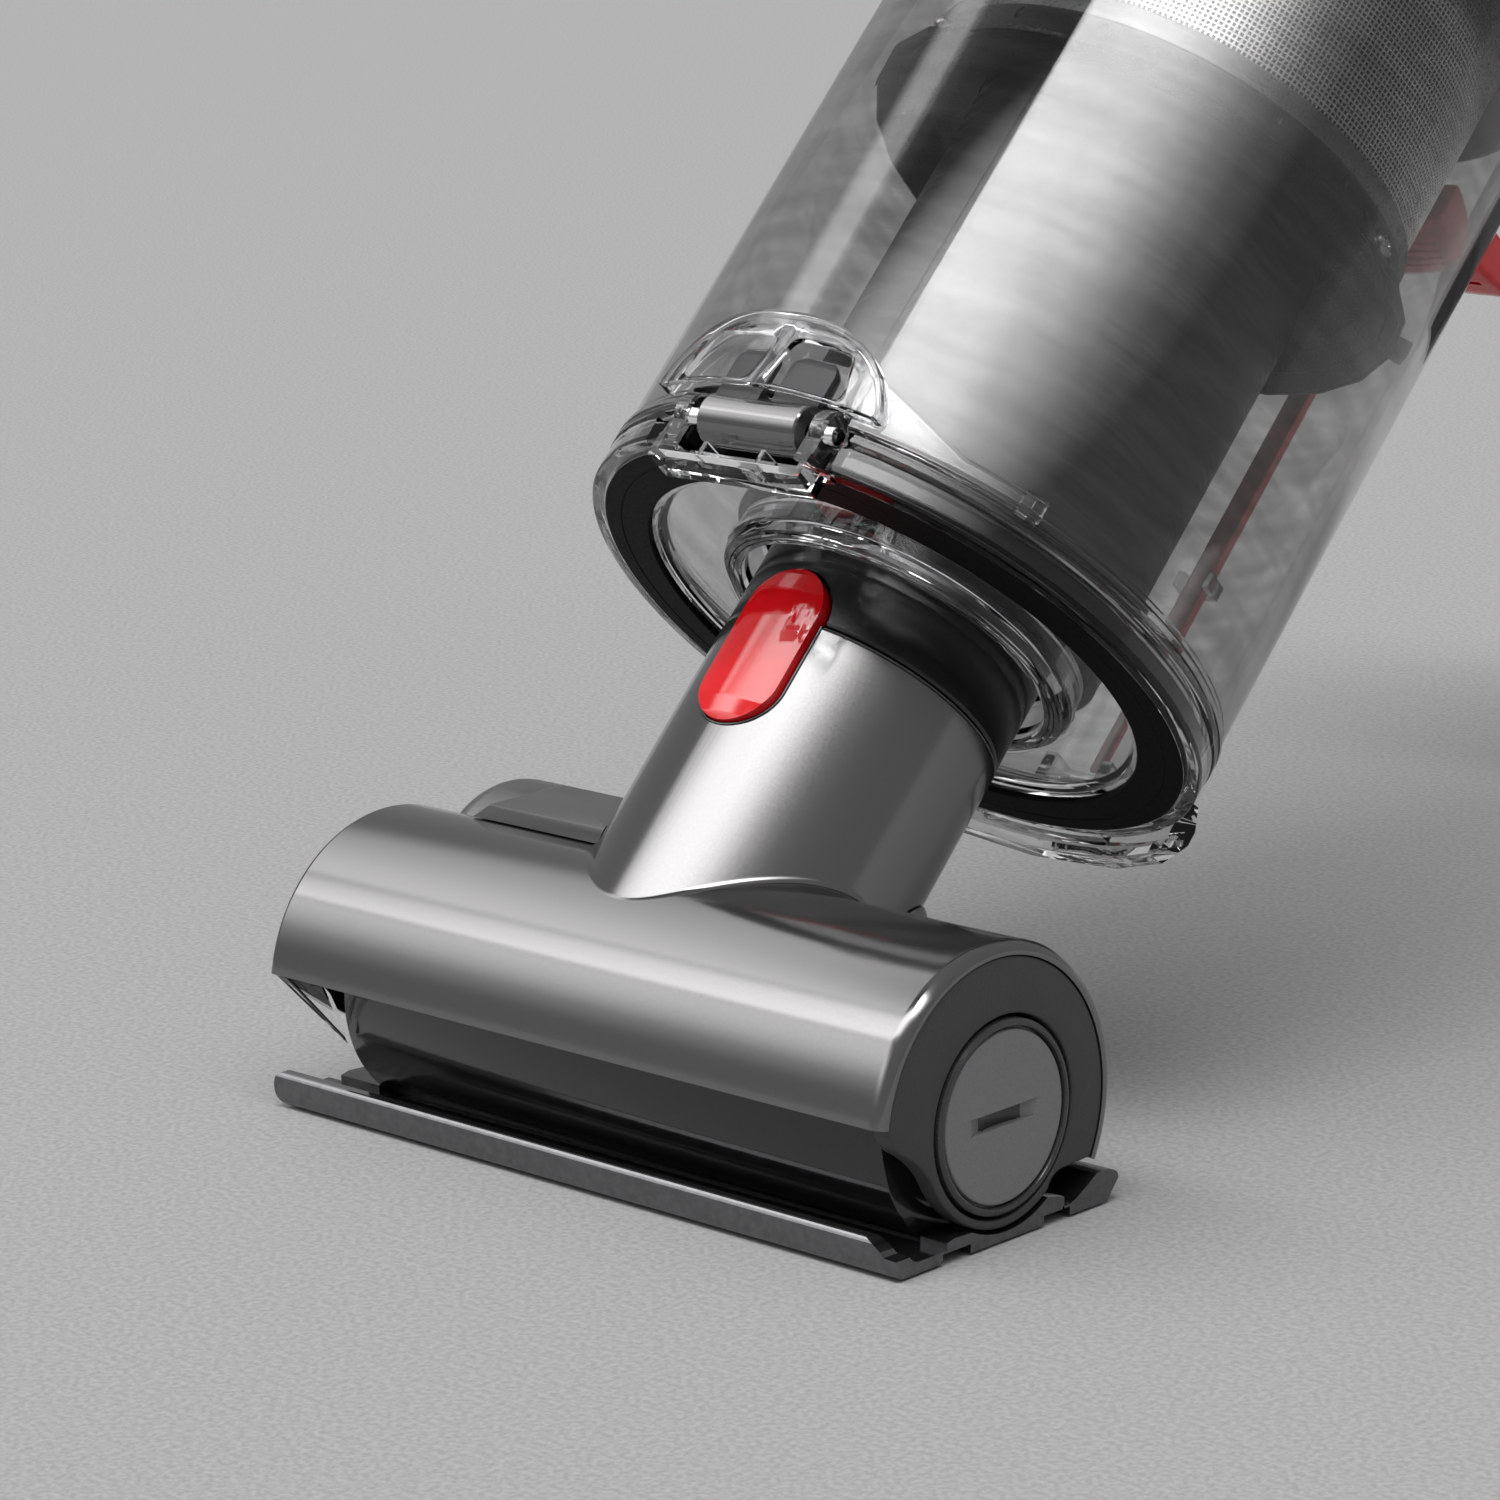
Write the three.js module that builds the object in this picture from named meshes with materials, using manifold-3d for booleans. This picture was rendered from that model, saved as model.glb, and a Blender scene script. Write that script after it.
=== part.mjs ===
// Cordless stick vacuum in hand-held form, with its mini motorised head plugged on the inlet.
// Millimetres, +Z up. The head stands flat on the floor with its brush axis along X.
// The machine leans back from it, with its own axis in the YZ plane.
import * as THREE from 'three';
import { mergeVertices } from 'three/addons/utils/BufferGeometryUtils.js';
import Module from 'manifold-3d';

const wasm = await Module();
wasm.setup();

// ---- driving dimensions -------------------------------------------------
const clearance = 0.3;          // between pieces that touch
const wall = 2.4;               // moulded shell thickness

// mini motorised head
const headLength = 141;                  // over both ends of the housing
const capRadius = 14.3;                  // coin-turned end cap
const bulgeRadius = capRadius + 4;       // round lower part of both ends
const chamberRadius = bulgeRadius + 4.1; // outside of the brush chamber
const chamberWall = 1.4;
const brushRadius = chamberRadius - chamberWall - 1;
const brushHeight = brushRadius + 0.4;   // brush axis above the floor
const coreRadius = 8.5;
const headRadius = chamberRadius + 6.2;  // outside of the arched housing
const archY = -1.65;                     // arch centre against the brush axis
const archRise = 0.35;
const beltBay = 10.5;                    // belt compartment at the left end
const endPlate = 4;                      // thickness of the right end plate
const soleFront = -(headRadius - 2);
const soleRear = headRadius - 0.4;
const soleLeft = -headLength / 2 - 4.1;
const soleRight = headLength / 2 - 0.1;
const soleThick = 2;
const motorRadius = 8.6;                 // brush motor
const motorY = headRadius + 3.4;
const motorRise = 10.6;
const motorCoverRadius = 20;
const coverY = headRadius - 4.6;
const coverZ = brushHeight + 9.6;
const strips = 4;                        // bristle strips on the brush bar

// neck and inlet
const neckOffset = -1.9;                 // neck centre line against the housing's middle
const neckRadius = 26.7;
const neckLength = 68.1;                 // brush axis to the inlet seam
const neckWall = 2.8;
const machineTilt = 45.2;                // degrees above the floor
const spigotGap = 2.7;                   // between the neck's bore and the spigot
const spigotRadius = neckRadius - neckWall - spigotGap;
const spigotEnd = neckLength + 15.9;
const inletBore = spigotRadius + 1;
const buttonWidth = 16.4;
const buttonLength = 31;
const buttonFront = neckLength - 22.1;   // button's lower end along the neck

// bin and door
const binRadius = 58.5;
const binWall = 2.3;
const doorFront = neckLength + 12.2;     // door's outer face along the machine axis
const doorThick = 5.6;
const doorHole = neckRadius + 2.7;
const binFront = doorFront + doorThick + 0.6;
const tubeRadius = doorHole + 5.6;       // fine dust tube
const tubeFront = binFront + 4.5;
const skirtRadius = binRadius - 6.1;
const skirtFront = 174;
const meshRadius = (tubeRadius + skirtRadius) / 2 + 2.5;
const meshLength = 48;
const bandFront = skirtFront + 8.9;
const bandLength = 5;
const meshFront = bandFront + bandLength + clearance;
const packFront = meshFront + meshLength + clearance;
const binRear = packFront + 5.5;
const sealOuter = binRadius - 2.4;
const sealInner = binRadius - 9.2;
const landInner = sealInner + 0.3;       // end face of the bin, where the door's seal bears
const hingeY = -(binRadius - 2.5);
const hingeZ = binFront - 0.1;
const barrelRadius = 4.6;
const barrelLeft = -7;
const barrelRight = 15;
const armWidth = 3.6;
const pinRadius = 1.5;
const latchY = binRadius + 5.9;          // catch pivot
const latchZ = binFront + 8;
const latchPin = 1.2;
const latchLug = 2.4;
const knuckle = 5;

// cyclone pack, motor and filter
const packRadius = binRadius - 1.5;
const packRear = binRear + 56;
const cones = 10;
const coneRadius = 9.4;
const bodyRadius = 54;
const bodyFront = packRear + clearance;
const bodyRear = packRear + 74;
const bodyShoulder = bodyRear - 27;
const filterRadius = 46;
const filterRear = bodyRear + 42;
const impellerRadius = 23;
const motorCase = 30;
const shaftRadius = 3.4;

// grip and battery
const gripTop = 46;
const gripBottom = 150;
const gripZ = bodyRear - 41;
const gripDepth = 17;
const gripWidth = 15.5;
const cellRadius = 9.1;
const cellLength = 65;
const batteryTop = gripBottom + 0.4;
const batteryHeight = 4.82 * cellRadius;
const batteryWidth = cellLength + 7;
const batteryFront = gripZ - 69;
const batteryRear = batteryFront + 8 * cellRadius + 17;

// the origin is on the rear land of the sole, at floor level
const restY = 20;

// ---- materials ----------------------------------------------------------
function finish(color, roughness, metalness = 0, opacity = 1) {
  return new THREE.MeshStandardMaterial({ color, roughness, metalness, opacity, transparent: opacity < 1 });
}
const gunmetal = finish(0x6b6a6c, 0.35, 0.6);
const darkGrey = finish(0x3a3a3c, 0.5);
const discGrey = finish(0x5c5c5e, 0.5);
const glossBlack = finish(0x0c0c0d, 0.15);
const satinBlack = finish(0x151516, 0.45);
const red = finish(0xc30a16, 0.15);
const clear = finish(0xe8eaec, 0.05, 0, 0.25);
const steel = finish(0xb9bbbd, 0.3, 1);
const tubeGrey = finish(0x4a4a4c, 0.35, 0.4);
const rubber = finish(0x101010, 0.7);
const nylon = finish(0x8a1420, 0.8);
const filterWhite = finish(0xdcdcd8, 0.9);
const copper = finish(0xb46a3c, 0.4, 0.8);
const cellGreen = finish(0x2d6f5a, 0.5);

// ---- building blocks ----------------------------------------------------
function solid(geometry) {
  const bare = geometry.clone();
  bare.deleteAttribute('normal');
  bare.deleteAttribute('uv');
  const merged = mergeVertices(bare, 1e-4);
  const place = merged.attributes.position.array;
  const index = merged.index.array;
  const kept = [];
  let volume = 0;
  for (let i = 0; i < index.length; i += 3) {
    const [a, b, c] = [index[i], index[i + 1], index[i + 2]];
    if (a === b || b === c || c === a) continue;
    kept.push(a, b, c);
    const [p, q, r] = [a, b, c].map((k) => new THREE.Vector3().fromArray(place, 3 * k));
    volume += p.dot(q.cross(r));
  }
  if (volume < 0) kept.reverse();
  return new wasm.Manifold(new wasm.Mesh({
    numProp: 3,
    vertProperties: new Float32Array(place),
    triVerts: new Uint32Array(kept),
  }));
}

function addPiece(parent, name, body, material) {
  const mesh = body.getMesh();
  const geometry = new THREE.BufferGeometry();
  geometry.setAttribute('position', new THREE.BufferAttribute(new Float32Array(mesh.vertProperties), 3));
  geometry.setIndex(new THREE.BufferAttribute(new Uint32Array(mesh.triVerts), 1));
  geometry.computeVertexNormals();
  const piece = new THREE.Mesh(geometry, material);
  piece.name = name;
  parent.add(piece);
  return piece;
}

// turned about Z, or about X, from [radius, station] pairs that close on the axis or on themselves
function turned(profile, segments = 24) {
  const points = profile.map(([r, z]) => new THREE.Vector2(r, z));
  return solid(new THREE.LatheGeometry(points, segments).rotateX(Math.PI / 2));
}
function turnedX(profile, y = 0, z = 0, segments = 24) {
  const points = profile.map(([r, x]) => new THREE.Vector2(r, x));
  return solid(new THREE.LatheGeometry(points, segments).rotateZ(-Math.PI / 2).translate(0, y, z));
}
function ring(outer, inner, from, to, segments = 24) {
  return turned([[inner, from], [outer, from], [outer, to], [inner, to], [inner, from]], segments);
}
function disc(radius, from, to, segments = 24) {
  return turned([[0, from], [radius, from], [radius, to], [0, to]], segments);
}
function ringX(outer, inner, from, to, y = 0, z = 0, segments = 24) {
  return turnedX([[inner, from], [outer, from], [outer, to], [inner, to], [inner, from]], y, z, segments);
}
function discX(radius, from, to, y = 0, z = 0, segments = 20) {
  return turnedX([[0, from], [radius, from], [radius, to], [0, to]], y, z, segments);
}
function box(x0, x1, y0, y1, z0, z1) {
  const geometry = new THREE.BoxGeometry(x1 - x0, y1 - y0, z1 - z0);
  return solid(geometry.translate((x0 + x1) / 2, (y0 + y1) / 2, (z0 + z1) / 2));
}

const axisX = new THREE.Vector3(1, 0, 0);
const axisY = new THREE.Vector3(0, 1, 0);
const axisZ = new THREE.Vector3(0, 0, 1);

// an outline drawn in Y and Z, pushed along X
function alongX(shape, from, to, bevel = 0, curveSegments = 20) {
  const geometry = new THREE.ExtrudeGeometry(shape, {
    depth: to - from - 2 * bevel, steps: 1, curveSegments,
    bevelEnabled: bevel > 0, bevelSize: bevel, bevelThickness: bevel, bevelOffset: -bevel, bevelSegments: 1,
  });
  geometry.translate(0, 0, from + bevel);
  return solid(geometry.applyMatrix4(new THREE.Matrix4().makeBasis(axisY, axisZ, axisX)));
}
// an outline drawn in Z and X, pushed along Y
function alongY(shape, from, to, bevel = 0, curveSegments = 12) {
  const geometry = new THREE.ExtrudeGeometry(shape, {
    depth: to - from - 2 * bevel, steps: 1, curveSegments,
    bevelEnabled: bevel > 0, bevelSize: bevel, bevelThickness: bevel, bevelOffset: -bevel, bevelSegments: 1,
  });
  geometry.translate(0, 0, from + bevel);
  return solid(geometry.applyMatrix4(new THREE.Matrix4().makeBasis(axisZ, axisX, axisY)));
}
function outline(points) {
  const shape = new THREE.Shape();
  points.forEach(([a, b], i) => (i ? shape.lineTo(a, b) : shape.moveTo(a, b)));
  return shape;
}
function roundedOutline(a0, a1, b0, b1, radius) {
  const shape = new THREE.Shape();
  shape.moveTo(a0 + radius, b0);
  shape.lineTo(a1 - radius, b0);
  shape.absarc(a1 - radius, b0 + radius, radius, -Math.PI / 2, 0);
  shape.lineTo(a1, b1 - radius);
  shape.absarc(a1 - radius, b1 - radius, radius, 0, Math.PI / 2);
  shape.lineTo(a0 + radius, b1);
  shape.absarc(a0 + radius, b1 - radius, radius, Math.PI / 2, Math.PI);
  shape.lineTo(a0, b0 + radius);
  shape.absarc(a0 + radius, b0 + radius, radius, Math.PI, 1.5 * Math.PI);
  return shape;
}
// a wall that follows part of a circle, drawn in Y and Z
function sector(y, z, outer, inner, from, to) {
  const [a, b] = [from, to].map(THREE.MathUtils.degToRad);
  const shape = new THREE.Shape();
  shape.absarc(y, z, outer, a, b, false);
  shape.absarc(y, z, inner, b, a, true);
  return shape;
}
function polar(y, z, radius, degrees) {
  const angle = THREE.MathUtils.degToRad(degrees);
  return [y + radius * Math.cos(angle), z + radius * Math.sin(angle)];
}

// ---- frames -------------------------------------------------------------
const vacuum = new THREE.Group();
const head = new THREE.Group();
head.position.set(0, -restY, 0);
vacuum.add(head);

const machine = new THREE.Group();
machine.position.set(neckOffset, archY, brushHeight + archRise);
machine.rotation.x = THREE.MathUtils.degToRad(machineTilt - 90);
head.add(machine);
machine.updateMatrix();
const toMachine = machine.matrix.clone().invert();

// =========================================================================
// Mini motorised head
// =========================================================================
const halfHead = headLength / 2;
const archZ = brushHeight + archRise;
const archFrom = -28;            // where the arch ends, in degrees about its centre
const archTo = 171;
const plateInner = halfHead - endPlate;
const motorRight = neckOffset - neckRadius - 2.4;
const brushPulley = 10;
const beltBulge = brushPulley + 2;

// outline shared by both ends: arch on top, round bulge below about the brush axis
function endOutline(radius, bulge) {
  const shape = new THREE.Shape();
  const [frontY, frontZ] = polar(archY, archZ, radius, archTo);
  const [startY, startZ] = polar(0, brushHeight, bulge, 236);
  shape.absarc(archY, archZ, radius, THREE.MathUtils.degToRad(archFrom), THREE.MathUtils.degToRad(archTo), false);
  shape.quadraticCurveTo(frontY - 0.3, frontZ - 2.8, frontY + 2.2, frontZ - 4.2);
  shape.quadraticCurveTo(frontY + 8.6, frontZ - 8, frontY + 10.8, frontZ - 12.8);
  shape.quadraticCurveTo(startY - 3.4, startZ + 2.6, startY, startZ);
  shape.absarc(0, brushHeight, bulge, THREE.MathUtils.degToRad(236), THREE.MathUtils.degToRad(306), false);
  const [rearY, rearZ] = polar(archY, archZ, radius, archFrom);
  shape.quadraticCurveTo(rearY - 9.5, rearZ - 0.2, rearY - 6, rearZ - 0.2);
  shape.lineTo(rearY, rearZ);
  return shape;
}

function neckCutter(radius, from, to) {
  const points = [[0, from], [radius, from], [radius, to], [0, to]].map(([r, z]) => new THREE.Vector2(r, z));
  return solid(new THREE.LatheGeometry(points, 24).rotateX(Math.PI / 2).applyMatrix4(machine.matrix));
}

function housing() {
  const shell = alongX(sector(archY, archZ, headRadius, headRadius - wall, archFrom, archTo),
    -halfHead, halfHead - 0.2, 0, 9);
  const leftWall = alongX(endOutline(headRadius, beltBulge), -halfHead, -halfHead + wall, 0, 6);
  const motorWindow = box(-halfHead + wall, motorRight + 1, 17, 40, 14, 45);
  const duct = neckCutter(neckRadius - neckWall, 0, neckLength);
  return shell.add(leftWall).subtract(motorWindow).subtract(duct);
}
addPiece(head, 'head_housing', housing(), gunmetal);

const capHole = capRadius + 1.7;
addPiece(head, 'end_plate',
  alongX(endOutline(headRadius - wall - clearance, bulgeRadius), plateInner, halfHead, 0.8, 6)
    .subtract(discX(capHole, plateInner - 1, halfHead + 1, 0, brushHeight, 24)),
  darkGrey);

function endCap() {
  const slotLength = 16;
  const slotHeight = 2.9;
  const slotDepth = 1.6;
  const flange = capHole - clearance;
  const hub = 6;
  const profile = [[0, plateInner - 6], [3.2, plateInner - 6], [hub, plateInner - 6],
    [hub, plateInner - 1], [flange, plateInner - 1], [flange, plateInner + 1], [capRadius, plateInner + 1],
    [capRadius, halfHead - 0.8], [capRadius - 0.6, halfHead - 0.2], [0, halfHead - 0.2]];
  const slot = box(halfHead - slotDepth, halfHead + 1, -slotLength / 2, slotLength / 2,
    brushHeight - slotHeight / 2, brushHeight + slotHeight / 2);
  const bore = discX(3.3, plateInner - 7, plateInner - 1.6, 0, brushHeight, 16);
  return turnedX(profile, 0, brushHeight, 24).subtract(slot).subtract(bore);
}
addPiece(head, 'end_cap', endCap(), discGrey);

// brush bar with helical bristle strips
const brushLeft = -halfHead + beltBay + 1.6;
const brushRight = plateInner - 7.5;
function brushCore() {
  const groove = 1.2;
  const profile = [[0, brushLeft - 7], [3.6, brushLeft - 7], [3.6, brushLeft], [coreRadius, brushLeft],
    [coreRadius, brushRight], [3, brushRight], [3, brushRight + 5.2], [0, brushRight + 5.2]];
  let core = turnedX(profile, 0, brushHeight, 16);
  for (let k = 0; k < strips; k += 1) core = core.subtract(bristle(k, coreRadius - groove, coreRadius + 1, 3.2, 0.4));
  return core;
}
// one helical strip, swept as a row of sections turned about the brush axis
function bristle(k, inner, outer, thick, longer = 0) {
  const sections = 6;
  const turn = 0.55 * Math.PI;
  const from = brushLeft + 3 - longer;
  const to = brushRight - 3 + longer;
  const corners = [[-thick / 2, inner], [thick / 2, inner], [thick / 2, outer], [-thick / 2, outer]];
  const positions = [];
  for (let i = 0; i <= sections; i += 1) {
    const x = from + ((to - from) * i) / sections;
    const angle = (2 * Math.PI * k) / strips + (turn * (x - brushLeft)) / (brushRight - brushLeft);
    for (const [across, out] of corners) {
      const y = out * Math.cos(angle) - across * Math.sin(angle);
      const z = out * Math.sin(angle) + across * Math.cos(angle);
      positions.push(x, y, brushHeight + z);
    }
  }
  const faces = [0, 2, 1, 0, 3, 2];
  for (let i = 0; i < sections; i += 1) {
    for (let j = 0; j < 4; j += 1) {
      const [a, b] = [4 * i + j, 4 * i + ((j + 1) % 4)];
      faces.push(a, b, b + 4, a, b + 4, a + 4);
    }
  }
  const end = 4 * sections;
  faces.push(end, end + 1, end + 2, end, end + 2, end + 3);
  const geometry = new THREE.BufferGeometry();
  geometry.setAttribute('position', new THREE.Float32BufferAttribute(positions, 3));
  geometry.setIndex(faces);
  return solid(geometry);
}
addPiece(head, 'brush_core', brushCore(), darkGrey);
for (let k = 0; k < strips; k += 1) {
  addPiece(head, `bristle_strip_${k + 1}`, bristle(k, coreRadius - 1.2 + clearance, brushRadius, 2.4), nylon);
}
addPiece(head, 'end_bush',
  ringX(5.6, 3.3, brushRight + 0.4, plateInner - 6 - clearance, 0, brushHeight, 16), copper);

// belt drive in the left end
const pulleyFrom = -halfHead + wall + 2;
const pulleyTo = -halfHead + beltBay - 0.4;
const motorPulley = 4.5;
const motorZ = brushHeight + motorRise;
addPiece(head, 'brush_pulley',
  ringX(brushPulley, 3.9, pulleyFrom, pulleyTo, 0, brushHeight, 22), satinBlack);
addPiece(head, 'motor_pulley', discX(motorPulley, pulleyFrom, pulleyTo, motorY, motorZ, 16), steel);
function belt(grow) {
  const reach = Math.hypot(motorY, motorRise);
  const lean = Math.atan2(motorRise, motorY);
  const [big, small] = [brushPulley + grow, motorPulley + grow];
  const spread = Math.acos((big - small) / reach);
  const shape = new THREE.Shape();
  shape.absarc(0, brushHeight, big, lean + spread, lean - spread + 2 * Math.PI, false);
  shape.absarc(motorY, motorZ, small, lean - spread, lean + spread, false);
  return shape;
}
addPiece(head, 'drive_belt',
  alongX(belt(clearance + 1.5), pulleyFrom + 0.6, pulleyTo - 0.6, 0, 7)
    .subtract(alongX(belt(clearance), pulleyFrom, pulleyTo, 0, 7)), rubber);
addPiece(head, 'head_motor',
  discX(motorRadius, pulleyTo + 2, motorRight, motorY, motorZ, 18)
    .add(discX(1.5, pulleyTo + clearance, pulleyTo + 3, motorY, motorZ, 14)), steel);

// motor cover behind the housing, round at both ends and notched round the neck
function motorCover() {
  const [left, right] = [-halfHead + 1, neckRadius + 13.3];
  const [roundLeft, roundRight] = [5, 13];
  const shape = (grow, from, to) => {
    const points = [[0, from]];
    const outer = motorCoverRadius + grow;
    for (let i = 0; i <= 3; i += 1) {
      const angle = (i / 3) * (Math.PI / 2);
      points.push([outer - roundLeft + roundLeft * Math.sin(angle), from + roundLeft - roundLeft * Math.cos(angle)]);
    }
    for (let i = 0; i <= 3; i += 1) {
      const angle = (i / 3) * (Math.PI / 2);
      points.push([outer - roundRight + roundRight * Math.cos(angle), to - roundRight + roundRight * Math.sin(angle)]);
    }
    points.push([0, to]);
    return turnedX(points, coverY, coverZ, 18);
  };
  // flat-topped hump behind the arch, sloping down at both ends
  const [humpTop, humpBase] = [coverZ + motorCoverRadius + 2, coverZ + 4];
  const hump = alongY(outline([[humpBase, left], [humpTop - 12.5, left], [humpTop, left + 19.5], [humpTop, right - 28],
    [humpTop - 9, right - 4], [humpBase, right - 4]]), archY + 5.6, coverY - 2, 1.2);
  return shape(0, left, right).add(hump)
    .subtract(shape(-wall, left + wall, right - wall))
    .subtract(discX(headRadius + clearance, -halfHead - 1, halfHead, archY, archZ, 24))
    .subtract(neckCutter(neckRadius + clearance, 0, neckLength + 40));
}
addPiece(head, 'motor_cover', motorCover(), darkGrey);

// brush chamber: front and rear walls about the brush axis, joined by the end rings
const chamberLeft = -halfHead + beltBay;
const chamberRight = plateInner - 2.5;
function chamber() {
  const inner = chamberRadius - chamberWall;
  const front = alongX(sector(0, brushHeight, chamberRadius, inner, 150, 234.6), chamberLeft, chamberRight, 0, 5);
  const rear = alongX(sector(0, brushHeight, chamberRadius, inner, -54.6, -8), chamberLeft, chamberRight, 0, 3);
  const ends = [[chamberLeft, chamberLeft + 1.2], [chamberRight - 1.2, chamberRight]].map(([from, to]) => (
    alongX(sector(0, brushHeight, chamberRadius - 0.4, 11.4, 150, 352), from, to, 0, 8)));
  const floorCut = box(chamberLeft - 1, chamberRight + 1, -20, 20, -5, soleThick + clearance);
  return front.add(rear).add(ends[0]).add(ends[1]).subtract(floorCut);
}
addPiece(head, 'brush_chamber', chamber(), glossBlack);

// soleplate: front lip, brush opening, rear foot and the end bars under the bulges
function sole() {
  const swing = 0.6;
  const lip = new THREE.Shape();
  lip.moveTo(soleFront + 0.9, 0.2);
  lip.quadraticCurveTo(soleFront, 0.6, soleFront, 2);
  lip.lineTo(soleFront + 0.2, 4.8);
  lip.quadraticCurveTo(soleFront + 0.7, 6.1, soleFront + 2, 6);
  lip.quadraticCurveTo(soleFront + 3.2, 5.8, soleFront + 3.1, 4.6);
  lip.quadraticCurveTo(soleFront + 3.1, 2.4, soleFront + 5.4, soleThick);
  lip.lineTo(-14, soleThick);
  lip.lineTo(-14, 0);
  lip.lineTo(soleFront + 2, 0);
  const foot = new THREE.Shape();
  foot.moveTo(14, 0);
  foot.lineTo(soleRear - 3, 0);
  foot.lineTo(soleRear, 3.4);
  foot.quadraticCurveTo(soleRear + 0.1, 4.4, soleRear - 1.2, 5);
  foot.quadraticCurveTo(soleRear - 3, 5.8, soleRear - 5.6, 5.4);
  foot.quadraticCurveTo(17.6, 2.4, 15.8, soleThick);
  foot.lineTo(14, soleThick);
  const bar = new THREE.Shape();
  bar.moveTo(-14.4, 0);
  bar.lineTo(-14.4, 3.2);
  bar.lineTo(-12.6, 3.6);
  bar.absarc(0, brushHeight, bulgeRadius + swing, THREE.MathUtils.degToRad(244), THREE.MathUtils.degToRad(303), false);
  bar.lineTo(14.4, 3.6);
  bar.lineTo(14.4, 0);
  const notches = [[-15.4, -8.7], [9.3, 15.8]];
  let plate = alongX(lip, soleLeft, soleRight, 0, 4)
    .add(alongX(foot, soleLeft + 6, soleRight, 0, 4))
    .add(alongX(bar, chamberRight + 0.8, soleRight, 0, 6))
    .add(alongX(bar, soleLeft + 4, chamberLeft - 0.8, 0, 6));
  for (const [from, to] of notches) {
    plate = plate.subtract(box(chamberRight + 3, soleRight + 1, from, to, -1, 1.6));
    plate = plate.subtract(box(soleLeft - 1, chamberLeft - 3, from, to, -1, 1.6));
  }
  return plate;
}
addPiece(head, 'soleplate', sole(), glossBlack);

addPiece(head, 'clear_cheek',
  alongX(outline([[-23.6, 22], [-22.8, 22], [-21.4, 13.4], [-22.2, 13.4]]), -halfHead + wall + clearance, chamberLeft - clearance)
    .subtract(solid(new THREE.BoxGeometry(30, 12, 12).rotateY(0.72).translate(-halfHead + 1, -22, 11.4))),
  clear);

// =========================================================================
// Neck of the head, in the machine's own frame: Z along the axis, +Y towards the grip
// =========================================================================
const archCutter = solid(
  new THREE.CylinderGeometry(headRadius + clearance, headRadius + clearance, headLength + 20, 24)
    .rotateZ(Math.PI / 2).translate(0, archY, archZ).applyMatrix4(toMachine));

function stadium(width, length, from) {
  const r = width / 2;
  const shape = new THREE.Shape();
  shape.absarc(from + r, 0, r, Math.PI / 2, 1.5 * Math.PI, false);
  shape.absarc(from + length - r, 0, r, -Math.PI / 2, Math.PI / 2, false);
  return shape;
}
const buttonTop = neckRadius + 1.5;
const buttonSeat = neckRadius - neckWall + 0.5;
function buttonBlock(grow, deepest, highest) {
  return alongY(stadium(buttonWidth + 2 * grow, buttonLength + 2 * grow, buttonFront - grow), -highest, -deepest, 0, 9);
}
const buttonGap = 0.6;
const buttonWell = buttonBlock(buttonGap, neckRadius - 8, neckRadius + 6);

addPiece(machine, 'neck',
  turned([[neckRadius - neckWall, 4], [neckRadius, 4], [neckRadius, neckLength - 0.5], [neckRadius - 0.5, neckLength],
    [neckRadius - neckWall, neckLength], [neckRadius - neckWall, 4]], 24)
    .subtract(archCutter).subtract(buttonWell), gunmetal);

addPiece(machine, 'release_button',
  buttonBlock(0, buttonSeat, buttonTop + 2)
    .intersect(turned([[0, buttonFront - 6], [buttonTop - 0.8, buttonFront - 1.5], [buttonTop, buttonFront + 2.4],
      [buttonTop, buttonFront + buttonLength - 2.4], [buttonTop - 0.8, buttonFront + buttonLength + 2],
      [0, buttonFront + buttonLength + 7]], 24)), red);

addPiece(machine, 'spigot',
  turned([[spigotRadius - 2, 30], [spigotRadius, 30], [spigotRadius, 40], [neckRadius - neckWall - clearance, 40],
    [neckRadius - neckWall - clearance, 43], [spigotRadius, 43], [spigotRadius, spigotEnd - 1], [spigotRadius - 0.8, spigotEnd],
    [spigotRadius - 2, spigotEnd], [spigotRadius - 2, 30]], 24), satinBlack);
// =========================================================================
// Machine: inlet and dust tubes
// =========================================================================
const collarRadius = neckRadius - 0.2;
const seam = neckLength + clearance;
addPiece(machine, 'inlet_collar',
  turned([[inletBore, seam], [collarRadius - 0.5, seam], [collarRadius, seam + 0.5], [collarRadius, tubeFront - 1],
    [tubeRadius - 4, tubeFront + 1], [tubeRadius - 4, tubeFront + 3], [inletBore, tubeFront + 3], [inletBore, seam]], 24)
    .subtract(buttonWell), satinBlack);
addPiece(machine, 'inlet_duct', ring(inletBore + 2.2, inletBore, tubeFront + 3 + clearance, packFront - clearance, 24), satinBlack);
addPiece(machine, 'fine_dust_tube', ring(tubeRadius, tubeRadius - 1.8, tubeFront, packFront - clearance, 24), tubeGrey);
addPiece(machine, 'tube_seal', ring(tubeRadius - 1.8 - clearance, tubeRadius - 3.6, tubeFront - 1.2, tubeFront + 5, 24), rubber);

const facets = 24;
const tubeGap = tubeRadius / Math.cos(Math.PI / facets) + clearance;
addPiece(machine, 'skirt',
  turned([[skirtRadius, skirtFront], [skirtRadius + 0.3, skirtFront + 1.2], [meshRadius + 1.8, bandFront - clearance],
    [tubeGap, bandFront - clearance], [tubeGap, bandFront - 2], [meshRadius - 0.4, bandFront - 2.4],
    [skirtRadius - 1.6, skirtFront], [skirtRadius, skirtFront]], facets), satinBlack);
addPiece(machine, 'shroud_band',
  ring(meshRadius + 1.4, meshRadius - 3, bandFront, bandFront + bandLength, 24), tubeGrey);
addPiece(machine, 'mesh_shroud', ring(meshRadius, meshRadius - 1, meshFront, meshFront + meshLength, 24), steel);
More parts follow.
